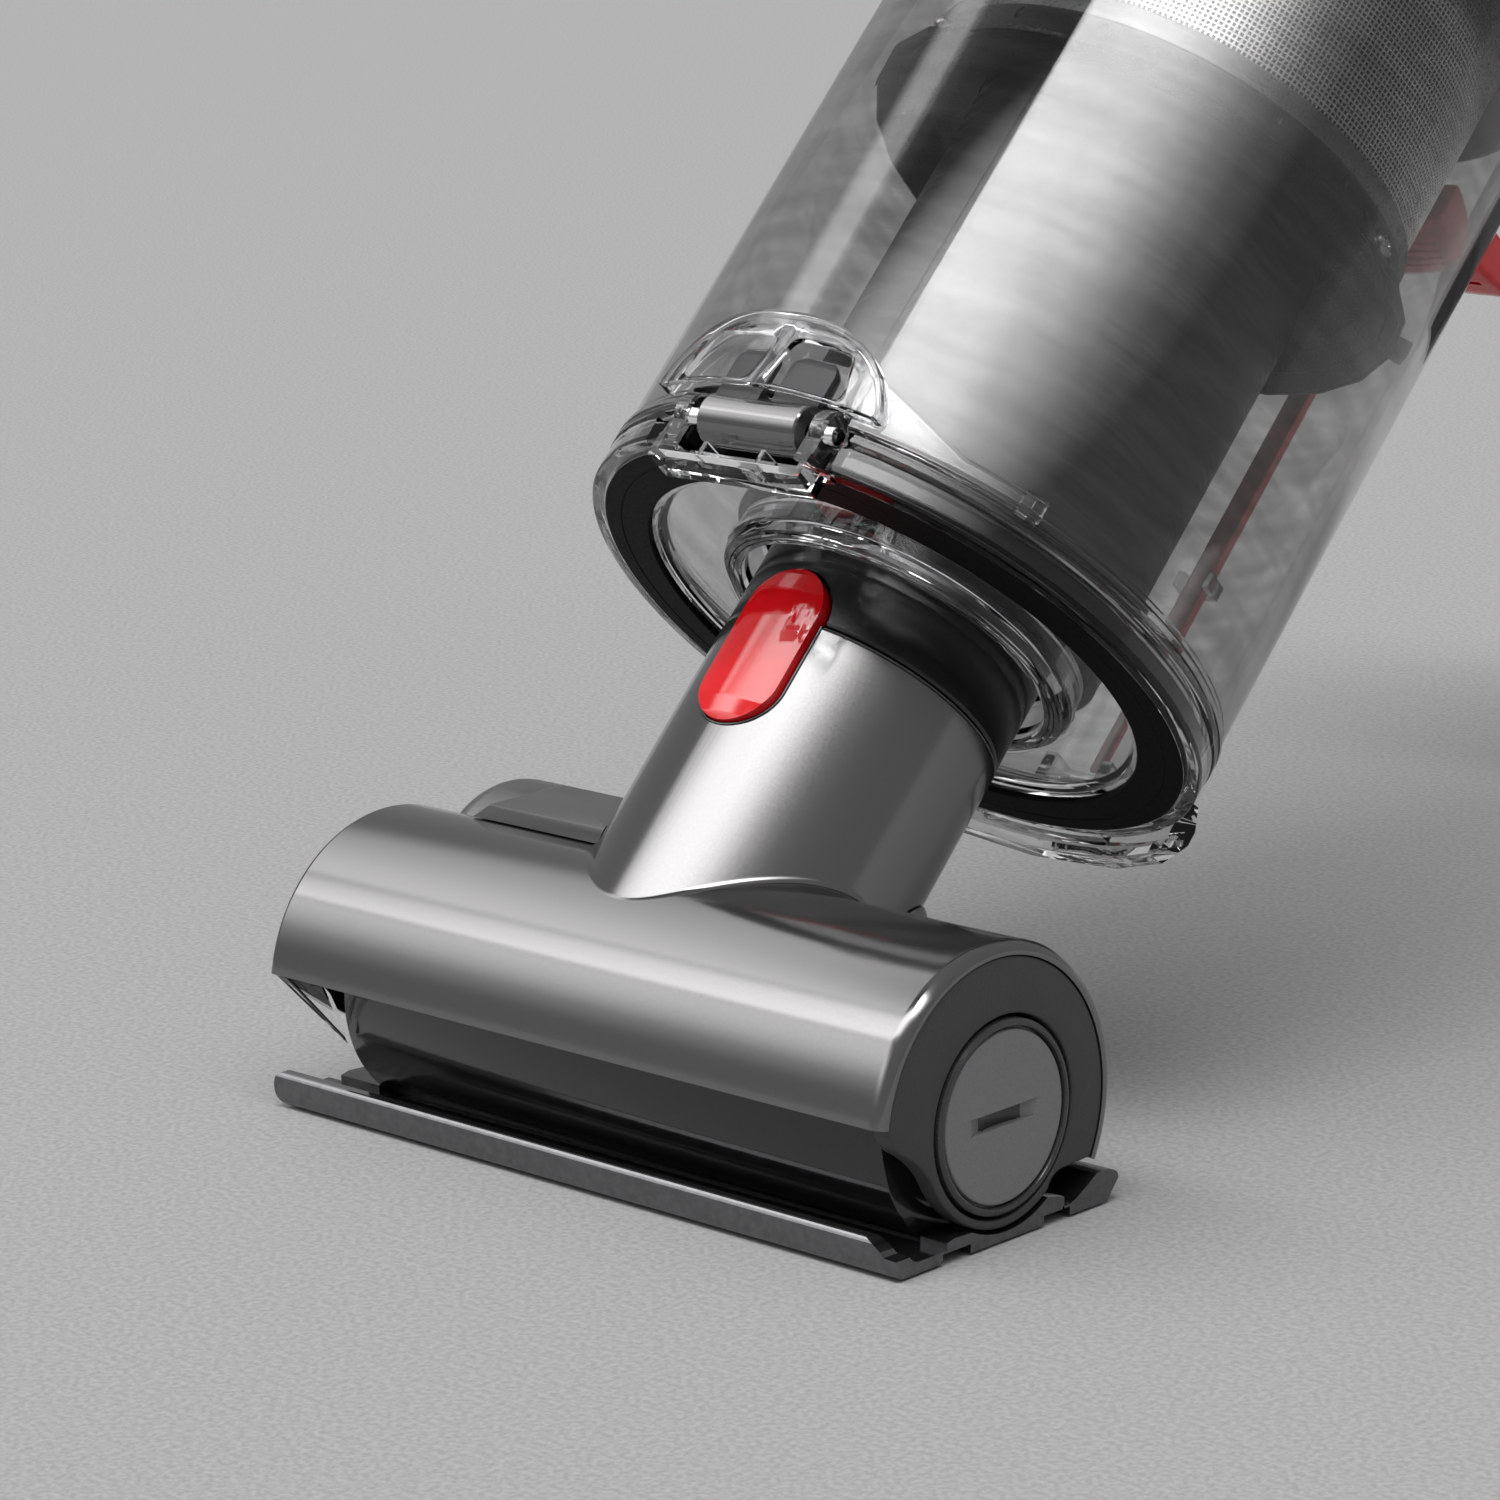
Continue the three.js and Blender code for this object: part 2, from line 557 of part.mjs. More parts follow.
// =========================================================================
// Clear bin
// =========================================================================
const binInner = binRadius - binWall;
const doorRear = doorFront + doorThick;
const armLeft = barrelLeft - 2.4 - armWidth;
const armRight = barrelRight + 2.4 + armWidth;
const troughGap = 0.6;

function hingeRound(radius, from, to, segments = 20) {
  return discX(radius, from, to, hingeY, hingeZ, segments);
}
const stripFrom = skirtFront - 52;   // broad part of the release strip
const leverFrom = binRear - 16;
const leverWidth = 14;
const stripInner = binRadius + 1.2;
const stripOuter = stripInner + 2.4;
const stripX = [2, 7];

function binShell() {
  const shell = turned([[landInner, binFront], [binRadius + 0.7, binFront], [binRadius + 0.7, binFront + 3],
    [binRadius, binFront + 4], [binRadius, binRear], [binInner, binRear], [binInner, binFront + 3.2],
    [landInner, binFront + 1.6], [landInner, binFront]], 24);
  const troughFrom = armLeft - 1.4;
  const troughTo = armRight + 1.4;
  const trough = hingeRound(barrelRadius + troughGap + 1.2, troughFrom - 1.2, troughTo + 1.2)
    .intersect(disc(binRadius, binFront, binFront + 20, 24));
  const hollow = hingeRound(barrelRadius + troughGap, troughFrom, troughTo);
  let bin = shell.add(trough).subtract(hollow)
    .subtract(box(troughFrom, troughTo, hingeY - 12, hingeY + 0.4, binFront - 2, hingeZ + barrelRadius + troughGap));
  for (const side of [-1, 1]) {
    const from = side * (knuckle + 0.4);
    const lug = box(Math.min(from, from + side * latchLug), Math.max(from, from + side * latchLug),
      binRadius - 1, latchY, latchZ - 2.6, latchZ + 2.6)
      .add(discX(2.6, Math.min(from, from + side * latchLug), Math.max(from, from + side * latchLug),
        latchY, latchZ, 14));
    bin = bin.add(lug.subtract(discX(latchPin + 0.2, -20, 20, latchY, latchZ, 12)));
  }
  for (const at of [stripFrom + 12, leverFrom - 21]) {
    bin = bin.add(box(stripX[0] - 2, stripX[0] - 0.5, binRadius - 1.2, stripOuter + 1.2, at, at + 3))
      .add(box(stripX[1] + 0.5, stripX[1] + 2, binRadius - 1.8, stripOuter + 1.2, at, at + 3))
      .add(box(stripX[0] - 2, stripX[1] + 2, stripOuter + 0.4, stripOuter + 1.2, at, at + 3));
  }
  return bin;
}
addPiece(machine, 'bin_shell', binShell(), clear);

const collarFront = binRear - 8;
addPiece(machine, 'bin_collar',
  turned([[binRadius + clearance, collarFront], [binRadius + 1.6, collarFront], [binRadius + 2.2, collarFront + 1],
    [binRadius + 2.2, binRear + 1], [binRadius + clearance, binRear + 1], [binRadius + clearance, collarFront]], 24)
    .subtract(box(stripX[0] - 1, stripX[1] + 1, binRadius - 2, binRadius + 6, collarFront - 1, binRear + 2)), darkGrey);

// hinge: barrel with its two mounting fingers, pin, and the clear cover over them
function hingeBarrel() {
  const fingerTop = binRadius + 1.3;
  const finger = (x) => alongY(roundedOutline(hingeZ, hingeZ + 13.1, x - 5, x + 5, 3), -fingerTop, -binRadius + 4, 0, 5)
    .intersect(disc(fingerTop, hingeZ, hingeZ + 20, 24));
  return hingeRound(barrelRadius, barrelLeft, barrelRight, 20)
    .add(finger(barrelLeft + 5.6)).add(finger(barrelRight - 4.4))
    .subtract(disc(binRadius + clearance, hingeZ + barrelRadius + troughGap - 1, 110, 24))
    .subtract(hingeRound(barrelRadius - 1, barrelLeft - 1, barrelLeft + 5))
    .subtract(hingeRound(pinRadius + clearance, barrelLeft - 1, barrelRight + 1, 14));
}
addPiece(machine, 'hinge_barrel', hingeBarrel(), gunmetal);
addPiece(machine, 'hinge_pin', hingeRound(pinRadius, armLeft - 0.4, armRight + 0.4, 14), clear);

function hingeCover() {
  const centre = (barrelLeft + barrelRight) / 2 - 2;
  const [left, right] = [centre - 24, centre + 24];
  const [from, to] = [hingeZ + barrelRadius, hingeZ + 19.6];
  const arch = (grow) => {
    const shape = new THREE.Shape();
    shape.moveTo(from - 8, left + grow);
    shape.lineTo(from + 2, left + grow);
    shape.quadraticCurveTo(to - grow, left + 5 + grow, to - grow, (left + right) / 2);
    shape.quadraticCurveTo(to - grow, right - 5 - grow, from + 2, right - grow);
    shape.lineTo(from - 8, right - grow);
    return shape;
  };
  const outer = binRadius + 3.1;
  const walls = ring(outer, binRadius + clearance, from, to, 24)
    .intersect(alongY(arch(0), -outer - 1, -40, 0, 8));
  const room = disc(outer - 1.1, from - 1, to, 24).intersect(alongY(arch(1.3), -outer - 1, -40, 0, 8));
  const window = (x0, x1) => alongY(roundedOutline(hingeZ + 4.8, hingeZ + 14.1, x0, x1, 2), -outer - 2, -outer + 4, 0, 4);
  return walls.subtract(room).subtract(window(left + 6, centre - 1.4)).subtract(window(centre + 1.4, right - 6));
}
addPiece(machine, 'hinge_cover', hingeCover(), clear);

// catch under the door, its pin, and the red release that works it
const lugOuter = binRadius + 1.7; // door's lug, just inside the catch's tooth
function doorCatch() {
  const span = 27;
  const wedge = (outer, inner, from, to) => ring(outer, inner, from, to, 24)
    .intersect(solid(new THREE.ExtrudeGeometry(sector(0, 0, 2 * binRadius, 10, 90 - span, 90 + span), {
      depth: to - from + 2, bevelEnabled: false, curveSegments: 8 }).translate(0, 0, from - 1)));
  const body = wedge(binRadius + 8.9, binRadius + 3.9, doorFront - 2.6, latchZ - 4)
    .add(wedge(binRadius + 5.1, lugOuter + clearance, doorFront - 2.6, doorFront - 0.4));
  const nose = turned([[0, doorFront - 20], [binRadius + 6.1, doorFront - 10], [binRadius + 6.1, doorFront - 2.6],
    [binRadius + 8.9, doorFront + 3], [binRadius + 8.9, doorFront + 6], [binRadius + 3.5, doorFront + 19],
    [0, doorFront + 19]], 24);
  const arm = box(-knuckle, knuckle, latchY - 2, latchY + 1.6, latchZ - 6, latchZ)
    .add(discX(2.5, -knuckle, knuckle, latchY, latchZ, 14));
  return body.intersect(nose).add(arm).subtract(discX(latchPin + 0.2, -20, 20, latchY, latchZ, 12));
}
addPiece(machine, 'door_catch', doorCatch(), clear);
addPiece(machine, 'catch_pin',
  discX(latchPin, -knuckle - latchLug - 0.6, knuckle + latchLug + 0.6, latchY, latchZ, 12), steel);

function releaseStrip() {
  const rod = box(stripX[0], stripX[0] + 3, stripInner, stripInner + 1.2, latchZ + 1, stripFrom + 1);
  return rod.add(box(stripX[0], stripX[1], stripInner, stripOuter, stripFrom, leverFrom + 6));
}
addPiece(machine, 'release_strip', releaseStrip(), red);
addPiece(machine, 'bin_release_lever',
  alongX(outline([[stripOuter + clearance, leverFrom - 3], [88, leverFrom + 1], [90, leverFrom + 4], [88.5, leverFrom + 7.5],
    [stripOuter + clearance, leverFrom + 6]]), -leverWidth, leverWidth, 1, 4), red);

// =========================================================================
// Door of the bin
// =========================================================================
const notchTop = -hingeY - barrelRadius - clearance;
function trimTop(body) {
  return body
    .subtract(box(armLeft - 0.6, armRight + 0.6, -2 * binRadius, -notchTop, doorFront - 20, binFront + 20))
    .subtract(box(-binRadius / 2, binRadius / 2, -2 * binRadius, hingeY + 0.4, doorFront - 0.01, binFront + 20));
}
function doorPanel() {
  const plate = turned([[doorHole, doorFront], [doorHole + 3.4, doorFront],
    [doorHole + 4, doorFront + 2.2], [sealInner - 4, doorFront + 2.2], [sealInner - 2, doorFront],
    [binRadius + 0.5, doorFront], [binRadius + 0.5, doorRear], [sealOuter + 0.6, doorRear],
    [sealOuter + 0.6, doorFront + 2.4], [sealInner - 0.6, doorFront + 2.4], [sealInner - 0.6, doorRear - 0.6],
    [sealInner - 2.6, doorRear - 0.6], [sealInner - 4, doorFront + 4.4], [doorHole + 4, doorFront + 4.4],
    [doorHole + 4, tubeFront - 1.5], [doorHole, tubeFront - 1.5], [doorHole, doorFront]], 24);
  let door = trimTop(plate);
  for (const [from, to] of [[armLeft, armLeft + armWidth], [armRight - armWidth, armRight]]) {
    door = door.add(alongX(outline([[hingeY - 3.2, doorFront - 1], [-notchTop + 1, doorFront], [-notchTop + 1, doorFront + 2.4],
      [-notchTop - clearance, doorFront + 2.4], [-notchTop - clearance, doorRear], [hingeY, hingeZ + 1], [hingeY - 3.2, hingeZ]]), from, to))
      .add(hingeRound(4.2, from, to));
  }
  const strip = box(armLeft, armRight, hingeY - 3.6, hingeY + 2.5, doorFront - 4.6, doorFront + 0.2)
    .subtract(box(armLeft + 1.4, armRight - 1.4, hingeY - 5, hingeY + 1.1, doorFront - 3.2, doorFront + 1.4));
  const lug = ring(lugOuter, binRadius - 1.5, doorFront, doorFront + 3, 24)
    .intersect(box(-14, 14, 0, 2 * binRadius, doorFront - 10, doorFront + 10));
  return door.add(strip)
    .subtract(hingeRound(pinRadius + clearance, armLeft - 2, armRight + 2, 14))
    .add(lug);
}
addPiece(machine, 'door_panel', doorPanel(), clear);
addPiece(machine, 'door_seal',
  trimTop(turned([[sealInner, doorFront + 2.7], [sealOuter, doorFront + 2.7], [sealOuter, doorRear],
    [(sealInner + sealOuter) / 2, doorRear + 0.3], [sealInner, doorRear], [sealInner, doorFront + 2.7]], 24)), rubber);

// =========================================================================
// Cyclone pack, motor and filter
// =========================================================================
function cyclonePack() {
  const drum = turned([[inletBore, packFront], [binInner - 0.6, packFront], [binInner - 0.6, binRear + 1.4],
    [binRadius + 0.6, binRear + 1.4], [binRadius + 0.6, binRear + 6], [packRadius - 12, binRear + 7], [packRadius - 12, packRear - 6],
    [packRadius - 3, packRear - 5], [packRadius - 3, packRear], [18, packRear], [18, packFront + 12],
    [inletBore, packFront + 10], [inletBore, packFront]], 24);
  const pitch = packRadius - coneRadius - 1;
  let pack = drum;
  for (let k = 0; k < cones; k += 1) {
    const angle = ((k + 0.5) * 2 * Math.PI) / cones;
    const cone = turned([[0, binRear + 5], [coneRadius, binRear + 5], [coneRadius, binRear + 22], [coneRadius - 2.2, packRear - 5.5],
      [0, packRear - 5.5]], 8);
    pack = pack.add(cone.translate([pitch * Math.cos(angle), pitch * Math.sin(angle), 0]));
  }
  return pack;
}
addPiece(machine, 'cyclone_pack', cyclonePack(), darkGrey);

const bodyEnd = filterRadius + 0.5;
function bodyProfile(grow) {
  return [[bodyRadius - 3.2 + grow, bodyFront], [bodyRadius + grow, bodyFront + 4], [bodyRadius + grow, bodyShoulder],
    [bodyRadius - 2 + grow, bodyShoulder + 13], [bodyEnd + grow, bodyRear]];
}
const slideTravel = 16;
const shelfFrom = bodyRear - 22;
const slideFrom = bodyFront + 11.7;
function mainBody() {
  const outer = bodyProfile(0);
  const inner = bodyProfile(-wall).reverse();
  const shell = turned([...outer, ...inner, outer[0]], 24);
  const shelf = ring(bodyRadius - wall + 1, motorCase + 4, shelfFrom, shelfFrom + 3);
  const slot = box(-1.8, 1.8, -bodyRadius - 3, -bodyRadius + 8, slideFrom + 2.4, slideFrom + 9.6 + slideTravel);
  const wires = box(-6, 6, 30, 60, gripZ - 6, gripZ + 6);
  return shell.add(shelf).subtract(slot).subtract(wires);
}
addPiece(machine, 'main_body', mainBody(), gunmetal);
addPiece(machine, 'mode_slider',
  box(-7, 7, -bodyRadius - 2.6, -bodyRadius - clearance, slideFrom, slideFrom + 12)
    .add(box(-1.3, 1.3, -bodyRadius - 1, -bodyRadius + 3.4, slideFrom + 3, slideFrom + 9)), darkGrey);

const motorFront = bodyFront + 3.7;
addPiece(machine, 'motor_case',
  turned([[shaftRadius + clearance, motorFront], [motorCase - 3, motorFront], [motorCase, motorFront + 3],
    [motorCase, shelfFrom - 7], [motorCase + 3.6, shelfFrom - 5], [motorCase + 3.6, shelfFrom - clearance],
    [shaftRadius + clearance, shelfFrom - clearance], [shaftRadius + clearance, shelfFrom - 5], [motorCase - 6, shelfFrom - 8],
    [motorCase - 6, motorFront + 4], [shaftRadius + clearance, motorFront + 3], [shaftRadius + clearance, motorFront]],
  20), steel);
addPiece(machine, 'motor_mount',
  ring(bodyRadius - wall - clearance, motorCase + clearance, shelfFrom - 13, shelfFrom - 8, 24), rubber);
function impeller() {
  const fanFrom = shelfFrom + 3;
  const shaft = disc(shaftRadius, motorFront - 2, fanFrom + 1, 16);
  const hub = turned([[0, fanFrom], [impellerRadius, fanFrom], [impellerRadius, fanFrom + 1.2], [9, fanFrom + 8],
    [5.5, fanFrom + 13.5], [0, fanFrom + 14]], 18);
  let wheel = hub;
  const blade = new THREE.Shape();
  blade.moveTo(5, -0.5);
  blade.quadraticCurveTo(14, 0.4, impellerRadius - 0.4, 7);
  blade.lineTo(impellerRadius - 0.7, 8.4);
  blade.quadraticCurveTo(14, 2, 5, 1);
  const flat = new THREE.ExtrudeGeometry(blade, { depth: 12, bevelEnabled: false, curveSegments: 2 })
    .translate(0, 0, fanFrom + 0.5);
  const envelope = turned([[0, fanFrom + 0.2], [impellerRadius, fanFrom + 0.2], [impellerRadius, fanFrom + 4],
    [13, fanFrom + 13.3], [0, fanFrom + 13.3]], 18);
  for (let k = 0; k < 6; k += 1) {
    wheel = wheel.add(solid(flat.clone().rotateZ((2 * Math.PI * k) / 6)).intersect(envelope));
  }
  return wheel.add(shaft);
}
addPiece(machine, 'impeller', impeller(), steel);

const filterFront = bodyRear + clearance;
const filterCollar = bodyEnd - wall - 0.8;
addPiece(machine, 'filter_shell',
  turned([[filterCollar - 1.8, filterFront - 5], [filterCollar, filterFront - 5],
    [filterCollar, filterFront], [filterRadius, filterFront], [filterRadius, filterRear - 3],
    [filterRadius - 3, filterRear], [12, filterRear], [12, filterRear - wall], [filterRadius - 4, filterRear - wall],
    [filterRadius - wall, filterRear - 4], [filterRadius - wall, filterFront + 2], [filterCollar - 1.8, filterFront + 2],
    [filterCollar - 1.8, filterFront - 5]], 24), darkGrey);
function filterMedia() {
  const pleats = 28;
  const shape = new THREE.Shape();
  for (let k = 0; k < 2 * pleats; k += 1) {
    const radius = k % 2 ? filterRadius - 11 : filterRadius - wall - 0.7;
    const angle = (Math.PI * k) / pleats;
    const point = [radius * Math.cos(angle), radius * Math.sin(angle)];
    if (k) shape.lineTo(...point);
    else shape.moveTo(...point);
  }
  const length = filterRear - wall - 2.2 - filterFront - 4;
  const pleated = solid(new THREE.ExtrudeGeometry(shape, { depth: length, bevelEnabled: false })
    .translate(0, 0, filterFront + 4));
  return pleated.subtract(disc(filterRadius - 15, filterFront, filterRear + 2, 24));
}
addPiece(machine, 'filter_media', filterMedia(), filterWhite);

// =========================================================================
// Grip, trigger and battery
// =========================================================================
function gripTube(grow) {
  return roundedOutline(gripZ - gripDepth - grow, gripZ + gripDepth + grow, -gripWidth - grow, gripWidth + grow,
    gripWidth - 2 + grow);
}
const triggerY = 64;
const triggerZ = gripZ - gripDepth + 7;
const triggerWidth = 7;
const triggerLength = 24;
function gripHalfShell(side) {
  const shell = alongY(gripTube(0), gripTop, gripBottom, 0, 5)
    .subtract(alongY(gripTube(-2.6), gripTop - 1, gripBottom - 3, 0, 6))
    .subtract(turned([[0, bodyFront - 10], ...bodyProfile(clearance), [0, bodyRear]], 24))
    .subtract(box(-triggerWidth - 0.7, triggerWidth + 0.7, triggerY - 4, triggerY + triggerLength + 3,
      gripZ - gripDepth - 4, gripZ - gripDepth + 4.6))
    .subtract(discX(1.7, -gripWidth + 4.2, gripWidth - 4.2, triggerY, triggerZ, 12));
  const boss = discX(3.4, -gripWidth + 1.4, -triggerWidth - 1, triggerY, triggerZ, 14)
    .add(discX(3.4, triggerWidth + 1, gripWidth - 1.4, triggerY, triggerZ, 14))
    .subtract(discX(1.7, -gripWidth + 4.2, gripWidth - 4.2, triggerY, triggerZ, 12));
  const half = side < 0 ? box(-60, -clearance / 2, 0, 2 * gripBottom, 0, 2 * gripZ)
    : box(clearance / 2, 60, 0, 2 * gripBottom, 0, 2 * gripZ);
  const bossRoom = alongY(gripTube(-1), gripTop, gripBottom, 0, 5);
  return shell.add(boss.intersect(bossRoom)).intersect(half)
    .subtract(box(-8, 8, gripBottom - 4, gripBottom + 1, gripZ - 8, gripZ + 8));
}
addPiece(machine, 'grip_left', gripHalfShell(-1), darkGrey);
addPiece(machine, 'grip_right', gripHalfShell(1), darkGrey);
addPiece(machine, 'trigger_pin', discX(1.4, -gripWidth + 4.6, gripWidth - 4.6, triggerY, triggerZ, 12), steel);
function trigger() {
  const face = new THREE.Shape();
  face.moveTo(triggerY - 3, triggerZ - 4);
  face.lineTo(triggerY - 3, triggerZ - 9.5);
  face.quadraticCurveTo(triggerY + 10, triggerZ - 6.5, triggerY + triggerLength, triggerZ - 13);
  face.quadraticCurveTo(triggerY + triggerLength + 2, triggerZ - 11, triggerY + triggerLength + 1, triggerZ - 9);
  face.quadraticCurveTo(triggerY + 12, triggerZ - 3.2, triggerY + 4, triggerZ + 2);
  face.lineTo(triggerY, triggerZ + 2.6);
  face.lineTo(triggerY - 2.6, triggerZ);
  return alongX(face, -triggerWidth, triggerWidth, 0.8, 6)
    .subtract(discX(1.7, -20, 20, triggerY, triggerZ, 12));
}
addPiece(machine, 'trigger', trigger(), red);

const caseFloor = batteryTop + batteryHeight;
function batteryCase() {
  const half = batteryWidth / 2;
  const body = alongY(roundedOutline(batteryFront, batteryRear, -half, half, 9), batteryTop, caseFloor, 1.2, 3);
  const room = alongY(roundedOutline(batteryFront + wall, batteryRear - wall, -half + wall, half - wall, 7),
    batteryTop + wall, caseFloor - wall, 0, 3);
  const neckHole = box(-8, 8, batteryTop - 1, batteryTop + 6, gripZ - 8, gripZ + 8);
  return body.subtract(room).subtract(neckHole);
}
addPiece(machine, 'battery_case', batteryCase(), darkGrey);
function cellBlock() {
  const rows = [[4, 0], [3, 0.5]];
  const pitch = 2 * cellRadius + 0.5;
  let block = null;
  rows.forEach(([count, shift], row) => {
    for (let k = 0; k < count; k += 1) {
      const z = batteryFront + wall + 4 + cellRadius + (k + shift) * pitch;
      const y = batteryTop + wall + 0.6 + cellRadius + row * (pitch * 0.9);
      const cell = discX(cellRadius, -cellLength / 2, cellLength / 2, y, z, 8);
      block = block ? block.add(cell) : cell;
    }
  });
  const frameFrom = batteryFront + wall + 8;
  return block.add(box(-2, 2, batteryTop + 8, caseFloor - wall - 10, frameFrom, frameFrom + 3.2 * pitch));
}
addPiece(machine, 'cell_block', cellBlock(), cellGreen);

export default vacuum;
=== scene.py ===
import bpy
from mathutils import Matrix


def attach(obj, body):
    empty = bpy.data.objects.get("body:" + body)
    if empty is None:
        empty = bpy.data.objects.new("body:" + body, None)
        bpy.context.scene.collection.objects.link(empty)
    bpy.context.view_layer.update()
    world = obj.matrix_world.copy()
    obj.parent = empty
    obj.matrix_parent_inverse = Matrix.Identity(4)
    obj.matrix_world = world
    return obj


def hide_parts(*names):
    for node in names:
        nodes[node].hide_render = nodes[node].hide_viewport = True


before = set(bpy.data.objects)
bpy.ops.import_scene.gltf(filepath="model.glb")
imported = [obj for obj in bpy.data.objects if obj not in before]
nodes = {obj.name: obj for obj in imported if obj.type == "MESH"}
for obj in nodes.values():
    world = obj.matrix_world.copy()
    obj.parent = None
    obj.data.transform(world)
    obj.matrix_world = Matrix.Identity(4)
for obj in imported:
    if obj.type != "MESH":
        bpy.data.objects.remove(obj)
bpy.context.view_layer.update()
import bpy
import math
from mathutils import Matrix, Vector

mm = 0.001
brushRise = 20.4                                # brush axis above the floor, in mm
restShift = 20.0                                # the origin lies this far behind the brush axis
headPlace = Matrix.Translation((0, -restShift * mm, 0))
machineTilt = math.radians(45.2)
machinePlace = Matrix.Translation((-1.9 * mm, (-1.65 - restShift) * mm,
    (brushRise + 0.35) * mm)) @ Matrix.Rotation(machineTilt - math.pi / 2, 4, "X")

# camera, in line with the product view from the front right
cameraPlace = {"at": (0.57316, -0.60878, 0.26578), "right": (0.72941, 0.68382, -0.01878),
    "up": (-0.14558, 0.18200, 0.97246), "lens": 122.54}
right = Vector(cameraPlace["right"]).normalized()
up = Vector(cameraPlace["up"])
up = (up - right * up.dot(right)).normalized()
back = right.cross(up)
cameraData = bpy.data.cameras.new("productCamera")
cameraData.lens = cameraPlace["lens"]
cameraData.sensor_width = 36
cameraData.clip_end = 20
productCamera = bpy.data.objects.new("productCamera", cameraData)
bpy.context.collection.objects.link(productCamera)
productCamera.matrix_world = Matrix.Translation(cameraPlace["at"]) @ Matrix((right, up,
    back)).transposed().to_4x4()
bpy.context.scene.camera = productCamera
print("camera set")


# materials
def newMaterial(name, colour, roughness, metallic=0.0, coat=0.0, specular=0.5):
    made = bpy.data.materials.new(name)
    made.use_nodes = True
    shader = made.node_tree.nodes["Principled BSDF"]
    for slot, value in (("Base Color", (*colour, 1)), ("Roughness", roughness), ("Metallic", metallic),
                        ("Coat Weight", coat), ("Specular IOR Level", specular)):
        shader.inputs[slot].default_value = value
    made.diffuse_color = (*colour, 1)
    return made, made.node_tree, shader


def newNode(tree, kind, values=None, source=None, slot=None):
    made = tree.nodes.new("ShaderNode" + kind)
    for name, value in (values or {}).items():
        made.inputs[name].default_value = value
    if source is not None:
        tree.links.new(source, made.inputs[slot])
    return made


def twoTones(tree, source, low, high, lowAt, highAt):
    # a colour ramp between two tones
    ramp = newNode(tree, "ValToRGB", None, source, "Fac")
    for element, at, tone in zip(ramp.color_ramp.elements, (lowAt, highAt), (low, high)):
        element.position = at
        element.color = (*tone, 1)
    return ramp.outputs["Color"]


def addGrain(tree, shader, scale, bump, distance, roughRange=None, colourRange=None, detail=3.0,
             stretch=(1, 1, 1)):
    # fine grain on object coordinates, for relief, roughness and a little colour
    place = newNode(tree, "TexCoord")
    mapping = newNode(tree, "Mapping", {"Scale": stretch}, place.outputs["Object"], "Vector")
    noise = newNode(tree, "TexNoise", {"Scale": scale, "Detail": detail}, mapping.outputs["Vector"], "Vector")
    if bump:
        relief = newNode(tree, "Bump", {"Strength": bump, "Distance": distance}, noise.outputs["Fac"],
            "Height")
        tree.links.new(relief.outputs["Normal"], shader.inputs["Normal"])
    if roughRange:
        spread = newNode(tree, "MapRange", {"From Min": 0.3, "From Max": 0.7, "To Min": roughRange[0],
            "To Max": roughRange[1]}, noise.outputs["Fac"], "Value")
        tree.links.new(spread.outputs["Result"], shader.inputs["Roughness"])
    if colourRange:
        tone = twoTones(tree, noise.outputs["Fac"], *colourRange, 0.35, 0.65)
        tree.links.new(tone, shader.inputs["Base Color"])
    return noise


def plainFinish(name, colour, roughness, metallic=0.0, coat=0.0, scale=900, bump=0.03, spread=0.05, tint=0.08,
                distance=0.0004, specular=0.5):
    made, tree, shader = newMaterial(name, colour, roughness, metallic, coat, specular)
    low = tuple(c * (1 - tint) for c in colour)
    high = tuple(min(1, c * (1 + tint)) for c in colour)
    addGrain(tree, shader, scale, bump, distance, (roughness - spread, roughness + spread), (low, high))
    return made


